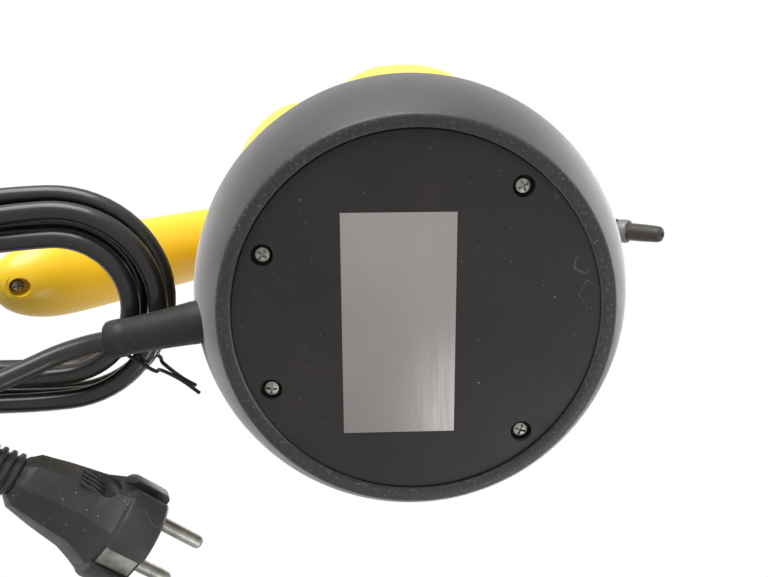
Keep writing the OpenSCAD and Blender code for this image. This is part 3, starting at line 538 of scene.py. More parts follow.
def plate_finish(colour):
    """The base plate's black, with dust, lint and fine scratches."""
    m = Recipe("base_black", Specular_IOR_Level=0.22)
    base = m.clouds(colour, 24, 4, 0.35, 0.68, 0.86, 1.2)
    base = m.marked(base, m.specks(800, 0.16, 0.05), 0.4, (0.4, 0.38, 0.36))
    base = m.marked(base, m.specks(210, 0.06, 0.12), 0.75, (0.5, 0.48, 0.44))
    base = m.marked(base, m.scratches(42, 0.003, 30), 0.4, (0.2, 0.19, 0.18))
    m.roughened(90, 4, 0.44, 0.58)
    return m.done(base, m.noise(1900, 3), 0.5, 0.03)


def sticker_finish(colour):
    """Matt silver foil with fine lengthwise fibres and a faint cloudiness."""
    m = Recipe("sticker", Metallic=0.25)
    fibres = m.noise(900, 3, stretch=(1, 0.05, 1))
    base = m.clouds(colour, 22, 3, 0.3, 0.7, 0.92, 1.07)
    base = m.mix(m.window(fibres, 0.4, 0.75, 0, 0.16), base, tone(colour, 0.75))
    m.into("Roughness", m.window(fibres, 0.3, 0.7, 0.36, 0.48))
    return m.done(base, m.maths("ADD", fibres, m.noise(60, 2)), 0.3, 0.03)


def shell_finish(colour):
    """Glossy yellow plastic with the faint ripple and warm shading of a thick moulding."""
    m = Recipe(
        "yellow_shell", Subsurface_Weight=0.12, Subsurface_Scale=0.004, Coat_Weight=0.12,
        Coat_Roughness=0.25,
    )
    base = m.clouds(colour, 26, 3, 0.32, 0.68, 0.95, 1.04)
    base = m.marked(base, m.specks(420, 0.09, 0.03), 0.5, (0.35, 0.22, 0.03))
    m.roughened(180, 4, 0.34, 0.44)
    return m.done(base, m.noise(1500, 2), 0.35, 0.02)


def glow_finish(name, colour, alpha):
    """Clear coloured plastic or glass."""
    m = Recipe(name, Transmission_Weight=alpha, IOR=1.49)
    m.roughened(500, 2, 0.06, 0.14)
    return m.done(m.clouds(colour, 300, 2, 0.3, 0.7, 0.9, 1), m.noise(900, 1), 0.2, 0.01)


def make_finishes(colours):
    """All materials by the record's slot names."""
    recipes = [
        bowl_finish(tuple(colours.bowl)),
        plate_finish(tuple(colours.plate)),
        sticker_finish(tuple(colours.sticker)),
        shell_finish(tuple(colours.shell)),
        metal("steel", (0.3, 0.295, 0.27), 0.45, tarnish=0.5),
        metal("cast_aluminium", (0.62, 0.63, 0.64), 0.42, grain=0.05),
        metal("brass", (0.7, 0.5, 0.22), 0.28, brush=(1, 1, 0.2)),
        moulded("gasket_red", (0.36, 0.06, 0.04), 0.55),
        moulded("ceramic", (0.72, 0.7, 0.64), 0.4, mottle=0.05),
        moulded("hose_silicone", (0.66, 0.64, 0.58), 0.42, mottle=0.06, Subsurface_Weight=0.1),
        moulded("grey_ring", (0.15, 0.15, 0.15), 0.42, dust=0.3),
        moulded("wire_brown", (0.16, 0.07, 0.03), 0.42),
        moulded("wire_green", (0.1, 0.3, 0.05), 0.42),
        moulded("rubber_black", (0.022, 0.021, 0.02), 0.5, mottle=0.1, dust=0.12,
                Specular_IOR_Level=0.18),
        moulded("cord_rubber", tuple(colours.rubber), 0.42, grain=0.02, dust=0.12,
                Specular_IOR_Level=0.22, Coat_Weight=0.32, Coat_Roughness=0.16),
        moulded("plug_rubber", tuple(colours.plug), 0.47, grain=0.05, mottle=0.12, dust=0.6,
                scratch=0.3, Specular_IOR_Level=0.22),
        glow_finish("lens_red", (0.85, 0.08, 0.03), 0.6),
        glow_finish("lamp_glass", (0.9, 0.75, 0.6), 0.7),
    ]
    return {r.slot: r.material for r in recipes}


def dressed(o, slot, *nodes, body="housing", angle=35):
    """Smooths a finished piece, gives it its material and body, and hides the nodes it replaces."""
    pick(o)
    if o.type == "MESH":
        bpy.ops.object.shade_smooth_by_angle(angle=math.radians(angle))
    o.data.materials.clear()
    o.data.materials.append(bpy.data.materials["finish_" + slot])
    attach(o, body)
    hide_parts(*nodes)
    return o


# ---------- outlines shared by several pieces ----------

PLATE_SINK, PLATE_TOP, FLOOR_TOP = 1.5, 3.9, 6.5
COLLAR_R, COLLAR_IN = 27.5, 23.8
# The base screws: where they stand, and the height of the seat of their heads
SCREW_SPOTS = [on_circle(50.8, angle) for angle in (50.3, -50.3, 155.2, -155.2)]
SCREW_SEAT = 4.5
BOOT_AT, BOOT_YAW = Vector((-62, 1.5, 18)), 170.4
JET_AT, JET_TILT = (106.5, 0, 155.6), 136
PLUG_AT, PLUG_YAW, PLUG_TILT = Vector((-144, 41, 7.6)), 42.7, 12.6
# The plug's pins stand this far from its axis
PIN_Y = 9.5
LENS_AT = (-60.8, 0, 155.6)
# Level of the soft light from all round
AMBIENT = 0.31
# The handle's last station, the stations over which it narrows to its free end, and the station of
# its screw
GRIP_LAST, GRIP_TAPER, GRIP_SCREW = 30, 10, 28
# The narrowing ends a little past the last station, so that the end isn't a point there
GRIP_END = GRIP_TAPER + 0.04
GRIP = [(-46, 128), (-60, 155), (-77, 165.5), (-95, 157), (-115, 130),
        (-131, 106), (-142, 91), (-150, 80), (-161, 71)]
SPOUT = [(38, 126, 22), (58, 150, 18.5), (80, 163, 15), (97, 162, 12), (106.5, 155.6, 9.6)]
BUTTON_X, BUTTON_SPRING_X = -77, -87
# Springs: CAD node, body, place on X, low and high end of the wire's line, turns, height of the
# fixed end, and the joint that shortens the spring with its travel
SPRINGS = [
    ("relief_spring", "cap", 0, 144.6, 155.16, 6, 155.7, "relief_lift", 1.5),
    ("button_spring", "housing", BUTTON_SPRING_X, 157.12, 167.78, 5, 156.6, "button_press", 4),
    ("valve_spring", "housing", -27, 108.82, 122.48, 6, 123, "button_press", 5),
]
# Radius of the springs and of their wire, and the points of a turn
SPRING_R, SPRING_WIRE_R, SPRING_STEPS = 2.9, 0.45, 24
# Radius of the pilot holes for screws, of the screw recess in the handle, and of its cup
PILOT_R, GRIP_HOLE_R, GRIP_CUP_R = 1.55, 3.7, 5.3
# Where the rocker's pin runs through the ears, and how far the button's outline is pulled apart, as
# a share of its half width
ROCKER_AT, KEY_SPREAD = (-54, 8.2, 143), 0.733
# Lines of the hose, which passes through the dome at HOSE_PASS, and of the wires; None stands for a
# pole of the terminal block
HOSE_PASS = (38, 7, 137)
HOSE = [(-27, 13.3, 112.2), (-26, 18, 112.6), (-19, 23, 115), (-4, 24, 120), (12, 20, 125),
        (26, 12, 130), HOSE_PASS, (50, 3, 145), (64, 0, 153), (80, 0, 160), (93, 0, 160.5),
        (101.5, 0, 160)]
LIVE_IN = [(-46.7, -1.1, 18), (-44.6, -8, 17.2), (-41.4, -17, 15), (-38.6, -27, 12.6), None]
LIVE_OUT = [None, (-34, -30, 12), (-37.5, -20, 11.6), (-40.5, -13.5, 11), (-38.6, -10.3, 10.4)]
EARTH = [None, (-30.5, -36.5, 14), (-28.5, -33.5, 20), (-25.8, -30.4, 25), (-23.3, -27.8, 27)]
HOSE_R, WIRE_R = 3.2, 0.9
# The terminal block: distance and angle of its middle, gap between its poles and their height
BLOCK_X, BLOCK_A, POLE_GAP, POLE_Z = 51.6, -133, 4, FLOOR_TOP + 5
# The dome's curve: its exponent, and the share of the radius at which it changes from steps in
# height to steps in radius
DOME_POWER, SHOULDER = 2.6, 0.6
# Side lobes: direction, distance of the centre and radius
LOBES = [(90, 49, 30), (129, 56.3, 22)]


def bowl_at(s, z):
    """The bowl's outer radius at a height."""
    return s.bowl if z >= s.wide else s.bowl - (s.bowl - s.ring) * (1 - z / s.wide) ** 2


def dome_at(s, z):
    """The dome's outer radius at a height."""
    return s.bowl * math.sqrt(max(0, 1 - (max(0, z - s.seam) / s.dome) ** DOME_POWER))


def dome_height(s, r):
    """The height at which the dome has a radius."""
    return s.seam + s.dome * (1 - (r / s.bowl) ** 2) ** (1 / DOME_POWER)


def lobe_reach(azimuth, centre, radius):
    """How far from the axis an upright cylinder reaches at an angle from its own direction."""
    inside = radius ** 2 - (centre * math.sin(azimuth)) ** 2
    return 0 if inside <= 0 or abs(azimuth) > 1 else centre * math.cos(azimuth) + math.sqrt(inside)


def lobe_share(s, point):
    """How far the side lobes lift a point of the dome, as a share of their full swell."""
    height = (point.z - s.seam) / s.lobe
    if not 0 < height < 1:
        return 0
    swell = s.swell * math.sin(math.pi * height)
    angle = abs(math.atan2(point.y, point.x))
    reach = max(lobe_reach(angle - math.radians(side), *lobe) for side, *lobe in LOBES)
    lift = min(swell, reach - dome_at(s, point.z))
    # Softened where the lobe rises from the dome
    soft = 0.7
    if lift < soft:
        lift = (lift + soft) ** 2 / (4 * soft) if lift > -soft else 0
    return lift / s.swell


# ---------- cord ----------

CORD = [(-99.96, 7.92, 18), (-107, 9.2, 17.8), (-116, 11.5, 15.8), (-126, 15, 11.5), (-136, 18, 7),
        (-147, 18.5, 4.2), (-158, 15, 3.4), (-169, 7, 3.4), (-179, -4, 3.4), (-187, -16, 3.4),
        (-194, -28, 3.6), (-201, -36.5, 6.4), (-209.5, -40.6, 9.6)]
LEAD = [(-240, -41, 13.6), (-256, -40, 9.5), (-272, -36, 5.5), (-285, -27, 3.6), (-293, -14, 3.4),
        (-295, 1, 3.4), (-290, 15, 3.4), (-280, 27, 3.4), (-266, 36, 3.4), (-250, 41, 3.4),
        (-235, 43, 3.4), (-220, 43, 3.4), (-206, 39.5, 3.4), (-193, 34, 3.4), (-181, 28.5, 3.4),
        (-169, 26, 3.4), (-158, 29, 4.6), (-144, 41, 7.6)]
# The hank: loops, radius of the widest loop's ends, half length of its straights, how much narrower
# the middle loops get, height of a layer, how far it is drawn in, and points of a loop
HANK_TURNS, HANK_R, HANK_RUN, HANK_STEP, HANK_LAYER, HANK_WAIST = 4, 38, 54, 9, 7.6, 0.1
HANK_POINTS = 120
HANK_AT, HANK_TILT = (-170.5, -3), math.radians(8.6)


def hank_place(s, x, y, z):
    """A point of the flat hank, tilted so that its near end leans on the strain relief."""
    low = HANK_RUN + HANK_R
    along = x + low
    return Vector((
        HANK_AT[0] - low + along * math.cos(HANK_TILT) - z * math.sin(HANK_TILT),
        HANK_AT[1] + y,
        s.cord / 2 + 0.1 + along * math.sin(HANK_TILT) + z * math.cos(HANK_TILT),
    ))


def hank_point(s, u):
    """Point u of the hank, where u counts loops from the near side's far end."""
    past = max(0, u) - HANK_TURNS / 2
    r = HANK_R - HANK_STEP * (HANK_TURNS / 2 - abs(past))
    climb = HANK_LAYER * min(1, max(0, (past + 0.25) / 0.25))
    f = 0 if u < 0 else u - math.floor(u)

    def drawn(x):
        return 1 - HANK_WAIST * (1 + math.cos(math.pi * x / HANK_RUN)) / 2

    if f < 0.25:
        a = 4 * math.pi * f
        x, y = -HANK_RUN - r * math.sin(a), -r * math.cos(a)
    elif f < 0.5:
        x = HANK_RUN * (8 * (f - 0.25) - 1)
        y = r * drawn(x)
    elif f < 0.75:
        a = 4 * math.pi * (f - 0.5)
        x, y = HANK_RUN + r * math.sin(a), r * math.cos(a)
    else:
        x = HANK_RUN * (1 - 8 * (f - 0.75))
        y = -r * drawn(x)
    if u < 0:
        x += s.cord
    return hank_place(s, x, y, climb)


def cord_line(s):
    """The whole cord's centre line: free stretch, hank and lead."""
    loops = [i / HANK_POINTS for i in range(HANK_POINTS * HANK_TURNS + 1)]
    hank = [hank_point(s, u) for u in [-1, *loops]]
    free = spline([*CORD, hank[0]], 130)
    lead = spline([hank[-1], *LEAD], 180)
    return free[:-1] + hank[:-1] + lead


# ---------- shapes used by more than one operator ----------


def dome_block(s):
    """The dome as a solid, slightly grown, to trim what stands on it."""
    grow = 0.1
    top = dome_height(s, SHOULDER * s.bowl)
    line = [(dome_at(s, z) + grow, z) for z in steps(s.seam, top, 20)]
    line += [(r, dome_height(s, r) + grow) for r in (41, 37.8, 34.6, 31, COLLAR_R)]
    return turned("dome_block", [(0, s.seam), *line, (0, line[-1][1])])


def pan_screw(name, head, thick, shank, length):
    """A pan-head screw along +Z with a cross recess; the seat of its head is at height 0."""
    line = [(0, 1), (0.45, 0.98), (0.78, 0.82), (0.95, 0.5), (1, 0.2), (1, 0)]
    line = [(head * r, -thick * z) for r, z in line]
    line += [(shank, 0), (shank, length - 1), (shank * 0.4, length), (0, length)]
    o = turned(name, line, 40)
    long, wide = head * 0.62, head * 0.14
    for turn in (0, 90):
        blade = block("blade", (-long, -wide, -thick - 1), (long, wide, -thick * 0.4))
        cut(o, lay(blade, (0, 0, 0), (0, 0, turn)))
    return o


def grip_station(index):
    """Station of the handle: x, z, pitch of its line and the share left near the free end."""
    points = [Vector((x, 0, z)) for x, z in GRIP]
    u = index / GRIP_LAST * (len(GRIP) - 1)
    place = spline_point(points, u)
    ahead = spline_point(points, u + 0.02) - spline_point(points, u - 0.02)
    past = max(0, (index - GRIP_LAST + GRIP_TAPER) / GRIP_END)
    return place.x, place.z, math.atan2(ahead.x, ahead.z), (1 - past ** 2.5) ** 0.4


def grip_half(name, s, stations, side):
    """Half of the handle's shell: side is 1 for the outer half and -1 for the inner half."""
    o = swept(name, stations, s.grip_thick, s.grip_wide, 48)
    x, z, pitch, _ = stations[-1]
    tip = 0.45
    next_ring((math.sin(pitch) * tip, 0, math.cos(pitch) * tip), (x, 0, z))
    bpy.ops.mesh.merge(type="CENTER")
    tidy_mesh(o)

    def across(face):
        at = face.center / MM
        x, z, pitch, _ = min(stations, key=lambda q: (q[0] - at.x) ** 2 + (q[1] - at.z) ** 2)
        return ((at.x - x) * math.cos(pitch) - (at.z - z) * math.sin(pitch)) * side < 0

    select_parts(o, across, "FACE")
    bpy.ops.mesh.delete(type="FACE")
    bpy.ops.mesh.select_mode(type="VERT")
    mode("OBJECT")
    shaped(o, "SOLIDIFY", thickness=2.2 * MM, offset=-1, use_even_offset=True)
    return bevelled(o, 0.28, 2, 60)


def at_grip(index, out=0.0):
    """Place and turn of a piece on a station of the handle, its +Z outwards."""
    x, z, pitch, _ = grip_station(index)
    place = (x + out * math.cos(pitch), 0, z - out * math.sin(pitch))
    return place, (0, 90 + math.degrees(pitch), 0)


# ---------- operators ----------


class STEAMER_OT_camera(bpy.types.Operator):
    """Places the camera below and in front of the body, looking up at its base"""

    bl_idname = "steamer.camera"
    bl_label = "Camera"

    def execute(self, context):
        bpy.ops.object.camera_add()
        camera = context.object
        camera.name = "base_camera"
        camera.data.lens = 34.31
        right = Vector((0.9987, 0.0318, -0.0409))
        up = Vector((0.0404, -0.9723, 0.2303))
        back = Vector((-0.0324, -0.2316, -0.9723))
        turn = Matrix((right, up, back)).transposed().to_4x4()
        camera.matrix_world = Matrix.Translation(Vector((-17.2, -61.1, -214.3)) * MM) @ turn
        camera.data.clip_start = 0.01
        context.scene.camera = camera
        return {"FINISHED"}


class STEAMER_OT_finishes(bpy.types.Operator):
    """Makes the materials and gives every CAD node the one of its slot"""

    bl_idname = "steamer.finishes"
    bl_label = "Finishes"

    def execute(self, context):
        made = make_finishes(context.scene.steamer_colours)
        for row in frame["record"]["subparts"]:
            node = frame["nodes"][row["node"]]
            node.data.materials.clear()
            node.data.materials.append(made[row["material_slot"]])
        return {"FINISHED"}


class STEAMER_OT_plug(bpy.types.Operator):
    """Models the earthed plug: ribbed sleeve, faceted grip, round front, pins"""

    bl_idname = "steamer.plug"
    bl_label = "Plug"

    def execute(self, context):
        s = sizes_of(context)
        turn = (0, 90 - PLUG_TILT, PLUG_YAW)
        ribs = [(0, 0), (4.4, 0), (4.9, 0.5)]
        rib = [(0, 0), (1, 0.05), (1.3, 0.35), (1.3, 1.2), (1, 1.5), (0.1, 1.6)]
        for i in range(6):
            core, low = 4.9 + 0.3 * i, 1.3 + 2.9 * i
            ribs += [(core + r, low + z) for r, z in rib]
        sleeve = turned("plug_shell", [*ribs, (6.6, 19.5), (0, 19.5)], 56)
        grip = stacked(outline("grip", 8), [
            (6.2, 6.4, 15), (8.6, 9.2, 18.2), (9.3, 11.6, 28), (10.2, 13.8, 40), (12.4, 15.4, 45),
            (15.6, 17.2, 50), (15.6, 17.2, 52),
        ])
        front = turned("front", [
            (0, 48.6), (16.6, 48.6), (18, 49.2), (s.plug, 50.4), (s.plug, 61.6), (17.7, 62.6),
            (16.9, 63), (0, 63),
        ], 72)
        plug = fused(sleeve, grip, front)
        for side in (-1, 1):
            # Groove of an earth clip, guide groove beside the pins, and a finger recess
            x, y = (15, 15.6) if side > 0 else (-34, -30)
            cut(plug, block("groove", (x, -4.5, 43), (x + 19, 4.5, 83)))
            cut(plug, block("guide", (-2.4, y, 44), (2.4, y + 14.4, 90)))
            bpy.ops.object.select_all(action="DESELECT")
            bpy.ops.mesh.primitive_uv_sphere_add(segments=32, ring_count=16, radius=1)
            hollow = context.object
            hollow.scale = (5.6 * MM, 3.4 * MM, 8.8 * MM)
            cut(plug, lay(hollow, (-1.8 * side, side * 14.6, 37.5), (side * 9, 0, 0)))
        bevelled(plug, 0.45, 2, 28)
        bars, bar_layers = [], [(0.45, 0.5, -4.6), (0.5, 0.9, 0), (0.45, 0.5, 4.6)]
        for side in (-1, 1):
            for i in range(4):
                bar = stacked(outline("bar", 8), bar_layers)
                at = (-1.8 * side + 2.1 * (i - 1.5), side * 11.9, 36.5)
                bars.append(lay(bar, at, (side * 7, 0, 0)))
        plug = joined(plug, *bars)
        dressed(lay(plug, PLUG_AT, turn), "plug_rubber", "plug_body", angle=30)
        pin = turned("plug_pins_round", [
            (0, 60), (2.4, 60), (2.4, 80.4), (2.2, 81.3), (1.6, 81.9), (0.8, 82), (0, 82),
        ], 40)
        pins = repeated(pin, [(0, y, 0) for y in (-PIN_Y, PIN_Y)])
        dressed(lay(pins, PLUG_AT, turn), "steel", "plug_pins")
        return {"FINISHED"}


class STEAMER_OT_tie(bpy.types.Operator):
    """Winds the wire tie round the near strands of the hank"""

    bl_idname = "steamer.tie"
    bl_label = "Wire tie"

    def execute(self, context):
        s = sizes_of(context)
        down = s.cord / 2 + 1.2
        over = HANK_LAYER + down
        route = [(56.4, 1), (48.4, 2.5), (40.4, 0), (37.4, -down), (21.4, -down), (18.4, 0),
                 (18.4, HANK_LAYER), (21.4, over), (37.4, over), (40.4, HANK_LAYER), (48.4, 5),
                 (54.4, 6)]
        turn = math.radians(50)
        points = [hank_place(s, HANK_RUN + r * math.sin(turn), r * math.cos(turn), z)
                  for r, z, _ in spline([(*p, 0) for p in route], 90)]
        dressed(wire("hank_tie", points, 0.7, 8), "base_black", "cord_tie")
        return {"FINISHED"}


class STEAMER_OT_cord(bpy.types.Operator):
    """Lays the power cord: free stretch, hank and lead to the plug"""

    bl_idname = "steamer.cord"
    bl_label = "Power cord"

    def execute(self, context):
        s = sizes_of(context)
        line = cord_line(s)
        cord = wire("mains_cord", line, s.cord / 2, 16)
        dressed(cord, "cord_rubber", "power_cord", "cord_hank", "plug_lead")
        return {"FINISHED"}


class STEAMER_OT_bowl(bpy.types.Operator):
    """Turns the lower bowl with the ring it stands on and its lap lip"""

    bl_idname = "steamer.bowl"
    bl_label = "Lower bowl"

    def execute(self, context):
        s = sizes_of(context)
        lap = s.bowl - s.wall - 0.2
        middle = [(30, FLOOR_TOP), (30, PLATE_TOP)]
        line = [middle[1], (s.recess, PLATE_TOP), (s.recess, 0.55), (s.recess + 0.18, 0.16),
                (s.recess + 0.55, 0), (s.ring - 0.8, 0), (s.ring - 0.05, 0.14),
                (s.ring + 0.34, 0.5)]
        line += [(bowl_at(s, z), z) for z in (1, 1.8, 3, 4.6, *steps(6.5, s.wide, 15))]
        line += [(s.bowl, s.seam - 0.5), (s.bowl - 0.12, s.seam - 0.15), (s.bowl - 0.45, s.seam),
                 (lap, s.seam), (lap, s.seam + 3.7), (lap - 0.3, s.seam + 4),
                 (lap - 1.4, s.seam + 4), (lap - 1.6, s.seam + 3.7), (lap - 1.6, s.wide - 2)]
        line += [(bowl_at(s, z) - s.wall, z) for z in steps(s.wide - 4.5, FLOOR_TOP, 8)]
        bowl = turned("bowl_shell", [*line, *middle], 192)
        bored(bowl, 7.3, 0, 33, BOOT_AT, (0, 90, BOOT_YAW))
        for at in SCREW_SPOTS:
            bored(bowl, 5.1, 0, 20, at, sides=32)
        lugs = repeated(pipe("lug", 1.6, 4.5, 5.4, 14), [on_circle(41, a) for a in (0, 110, 250)])
        posts = repeated(pipe("post", 1.25, 3.5, 5.4, 12.5), [(-54, y, 0) for y in (-9, 9)])
        dressed(joined(bowl, lugs, posts), "black_shell", "bowl", angle=38)
        return {"FINISHED"}


class STEAMER_OT_base(bpy.types.Operator):
    """Models the base plate, its four cross-head screws in round recesses and the blank sticker"""

    bl_idname = "steamer.base"
    bl_label = "Base plate, screws and sticker"

    def execute(self, context):
        s = sizes_of(context)
        rim = s.recess - 0.2
        plate = turned("base_disc", [
            (0, PLATE_SINK), (rim - 0.45, PLATE_SINK), (rim - 0.12, PLATE_SINK + 0.12),
            (rim, PLATE_SINK + 0.45), (rim, PLATE_TOP), (0, PLATE_TOP),
        ], 160)
        for at in SCREW_SPOTS:
            fused(plate, lay(rod("standoff", 4.9, 2.6, FLOOR_TOP, 40), at))
            bored(plate, 3.4, -1, SCREW_SEAT, at, sides=40)
            bored(plate, 1.7, 3, 20, at, sides=32)
        dressed(bevelled(plate, 0.24, 2, 40), "base_black", "base_plate", angle=22)
        # Level faces are shaded flat, so that their long slivers don't show
        for face in plate.data.polygons:
            face.use_smooth = abs(face.normal.z) < 0.999
        screw = lay(pan_screw("cross_screws", 2.75, 1.9, 1.5, 16), (0, 0, SCREW_SEAT))
        screws = repeated(screw, SCREW_SPOTS, (22, 64, 8, 40))
        dressed(screws, "steel", "base_screws", angle=30)
        label = bevelled(block("blank_sticker", (-17.5, -35, -0.2), (17.5, 35, 0)), 0.06)
        dressed(lay(label, (-5.8, 2.3, PLATE_SINK), (0, 0, 1.5)), "sticker", "rating_label")
        return {"FINISHED"}


class STEAMER_OT_dome(bpy.types.Operator):
    """Turns the upper shell and swells its side lobes"""

    bl_idname = "steamer.dome"
    bl_label = "Upper shell"

    def execute(self, context):
        s = sizes_of(context)
        top = dome_height(s, COLLAR_R)
        line = [(s.bowl - 0.4, s.seam + 0.1), (s.bowl - 0.08, s.seam + 0.35)]
        shoulder = dome_height(s, SHOULDER * s.bowl)
        line += [(dome_at(s, z), z) for z in steps(s.seam + 0.9, shoulder, 36)]
        line += [(r, dome_height(s, r)) for r in (41.5, 38.5, 35.5, 32.5, 29.8)]
        dome = turned("dome_shell", [*line, (COLLAR_R, top), (COLLAR_IN + 0.3, top)], 216)
        group = dome.vertex_groups.new(name="lobes")
        for vertex in dome.data.vertices:
            group.add([vertex.index], lobe_share(s, vertex.co / MM), "REPLACE")
        shaped(dome, "DISPLACE", strength=s.swell * MM, mid_level=0, vertex_group="lobes")
        dome.vertex_groups.clear()
        shaped(dome, "SOLIDIFY", thickness=s.wall * MM, offset=-1, use_even_offset=True)
        cut(dome, block("way", (-59, -6, 110), (-39, 6, 170)))
        bored(dome, 5, -12, 14, HOSE_PASS, (0, 58, -20))
        pillar = turned("pillar", [
            (0, 22.5), (PILOT_R, 22.5), (PILOT_R, FLOOR_TOP), (4.5, FLOOR_TOP), (4.5, 125),
            (0, 125),
        ], 32)
        x, aside, z = ROCKER_AT
        ears = []
        for y in (-aside, aside):
            ears.append(lay(pipe("ear", PILOT_R, 4, -1.2, 1.2), (x, y, z), (90, 0, 0)))
            ears.append(block("ear_root", (-52.4, y - 1.2, 124), (-46, y + 1.2, z)))
        whole = joined(dome, repeated(pillar, SCREW_SPOTS), *ears)
        dressed(whole, "yellow_shell", "upper_shell", angle=40)
        return {"FINISHED"}


class STEAMER_OT_handle(bpy.types.Operator):
    """Models the handle's two halves with the button's slot and the screw recess at the free end"""

    bl_idname = "steamer.handle"
    bl_label = "Handle"

    def execute(self, context):
        s = sizes_of(context)
        full = GRIP_LAST - GRIP_TAPER
        places = [k / 2 for k in range(2 * full + 1)]
        angles = (*range(5, 81, 5), 83, 85)
        places += [full + GRIP_END * math.sin(math.radians(a)) for a in angles]
        stations = [grip_station(i) for i in places]
        outer = grip_half("handle_outer", s, stations, 1)
        slot = stacked(outline("slot", 48, KEY_SPREAD), [(13.3, 7.8, 160), (13.3, 7.8, 200)])
        cut(outer, dome_block(s), lay(slot, (BUTTON_X, 0, 0)))
        bored(outer, 3.5, -6, 20, LENS_AT, (0, 45, 0))
        at, turn = at_grip(GRIP_SCREW)
        boss = lay(pipe("boss", PILOT_R, 4, 0.1, 7.5), at, turn)
        dressed(joined(outer, boss), "yellow_shell", "handle_top", angle=40)
        inner = grip_half("handle_inner", s, stations, -1)
        bored(cut(inner, dome_block(s)), GRIP_HOLE_R, -30, -1, at, turn)
        bevelled(inner, 0.5, 3, 62)
        cup = turned("cup", [
            (GRIP_HOLE_R, -7.3), (GRIP_CUP_R, -7.3), (GRIP_CUP_R, -1.1), (1.7, -1.1), (1.7, -4),
            (GRIP_HOLE_R, -4), (GRIP_HOLE_R, -7.3),
        ], 40)
        seat = lay(rod("seat", 4.2, 150.5, 156.5, 40), (BUTTON_SPRING_X, 0, 0))
        inner = joined(inner, lay(cup, at, turn), seat)
        dressed(inner, "yellow_shell", "handle_cover", angle=40)
        screw = pan_screw("handle_screw", 2.6, 1.8, 1.5, 8.5)
        dressed(lay(screw, *at_grip(GRIP_SCREW, -4)), "steel", "handle_screws", angle=30)
        return {"FINISHED"}


class STEAMER_OT_spout(bpy.types.Operator):
    """Models the spout and the nozzle with its locking ring"""

    bl_idname = "steamer.spout"
    bl_label = "Spout and nozzle"

    def execute(self, context):
        s = sizes_of(context)
        line = spline(SPOUT, 32)
        pitch = math.radians(JET_TILT)
        rings = []
        for i, p in enumerate(line):
            ahead = line[min(i + 1, 32)] - line[max(i - 1, 0)]
            rings.append((p.x, p.y, math.atan2(ahead.x, ahead.y), p.z))
        x, _, z = JET_AT

        def lip(out, radius):
            return x + out * math.sin(pitch), z + out * math.cos(pitch), pitch, radius

        mouth = [lip(*p) for p in ((0.4, 9.5), (0.75, 9.1), (0.9, 8.5), (0.9, 7.05), (-2.5, 7.05))]
        inside = [(a, b, turn, r - 2.2) for a, b, turn, r in reversed(rings[:-1])]
        spout = swept("spout_tube", [*rings, *mouth, *inside, rings[0]], 1, 1, 48)
        cut(tidy_mesh(spout), dome_block(s))
        dressed(spout, "yellow_shell", "spout_shell", angle=40)
        base = [(2.2, -3), (7, -3), (7, 2.6), (6.9, 3.1), (5.62, 11.5), (5.4, 12), (2.2, 12)]
        ring = [(3.65, 12), (5.55, 12), (5.85, 12.25), (5.95, 12.8), (5.9, 15.6), (5.6, 16.5),
                (4.9, 17), (3.65, 17)]
        jet = [(1.2, 12), (3.6, 12), (3.6, 17), (4.35, 17.4), (4.4, 19), (4.3, 25), (4.05, 30.5),
               (3.8, 32.6), (3.3, 33.5), (2.5, 33.95), (1.45, 34), (1.2, 33.7)]
        for name, line, slot, node in (
            ("jet_base", base, "black_shell", "nozzle_base"),
            ("jet_ring", ring, "grey_ring", "nozzle_ring"),
            ("jet_tube", jet, "black_shell", "nozzle_jet"),
        ):
            piece = turned(name, [*line, line[0]], 64)
            dressed(lay(piece, JET_AT, (0, JET_TILT, 0)), slot, node)
        return {"FINISHED"}


class STEAMER_OT_cap(bpy.types.Operator):
    """Models the filler collar and the fluted safety cap"""

    bl_idname = "steamer.cap"
    bl_label = "Filler collar and cap"

    def execute(self, context):
        s = sizes_of(context)
        seat = dome_height(s, COLLAR_R)
        line = [
            (12.3, -6), (23.5, -6), (COLLAR_IN, -5.7), (COLLAR_IN, 0), (COLLAR_R, 0),
            (COLLAR_R, 0.5), (27.2, 1.4), (26.5, 1.9), (25.6, 2), (22.3, 2), (21.9, 1.8),
            (21.8, 1.4), (21.8, -3.6), (21.4, -4), (12.3, -4), (12.3, -6),
        ]
        collar = turned("collar_ring", [(r, seat + z) for r, z in line], 128)
        dressed(collar, "base_black", "filler_collar")
        low, top = seat + 2.3, seat + 28.5
        skirt = [(17.8, low), (19.5, low), (19.9, low + 0.4), (20, low + 1)]
        crown = [(20, -4), (19.8, -2.7), (19.1, -1.5), (17.9, -0.6), (16.2, -0.1), (11, 0),
                 (10.5, -0.1), (10, -0.7), (9.4, -0.9), (0, -0.9)]
        hollow = [(0, -2.4), (14.8, -2.4), (17.8, -5)]
        hollow, crown = ([(r, top + z) for r, z in part] for part in (hollow, crown))
        cap = turned("fluted_cap", [*hollow, *skirt, *crown], 160)
        flute = rod("flute", 1.9, low + 3, top + 4, 24)
        cut(cap, repeated(flute, [on_circle(21, 18 * i) for i in range(20)]))
        dressed(bevelled(cap, 0.3, 2, 32), "black_shell", "cap_shell", body="cap", angle=34)
        return {"FINISHED"}


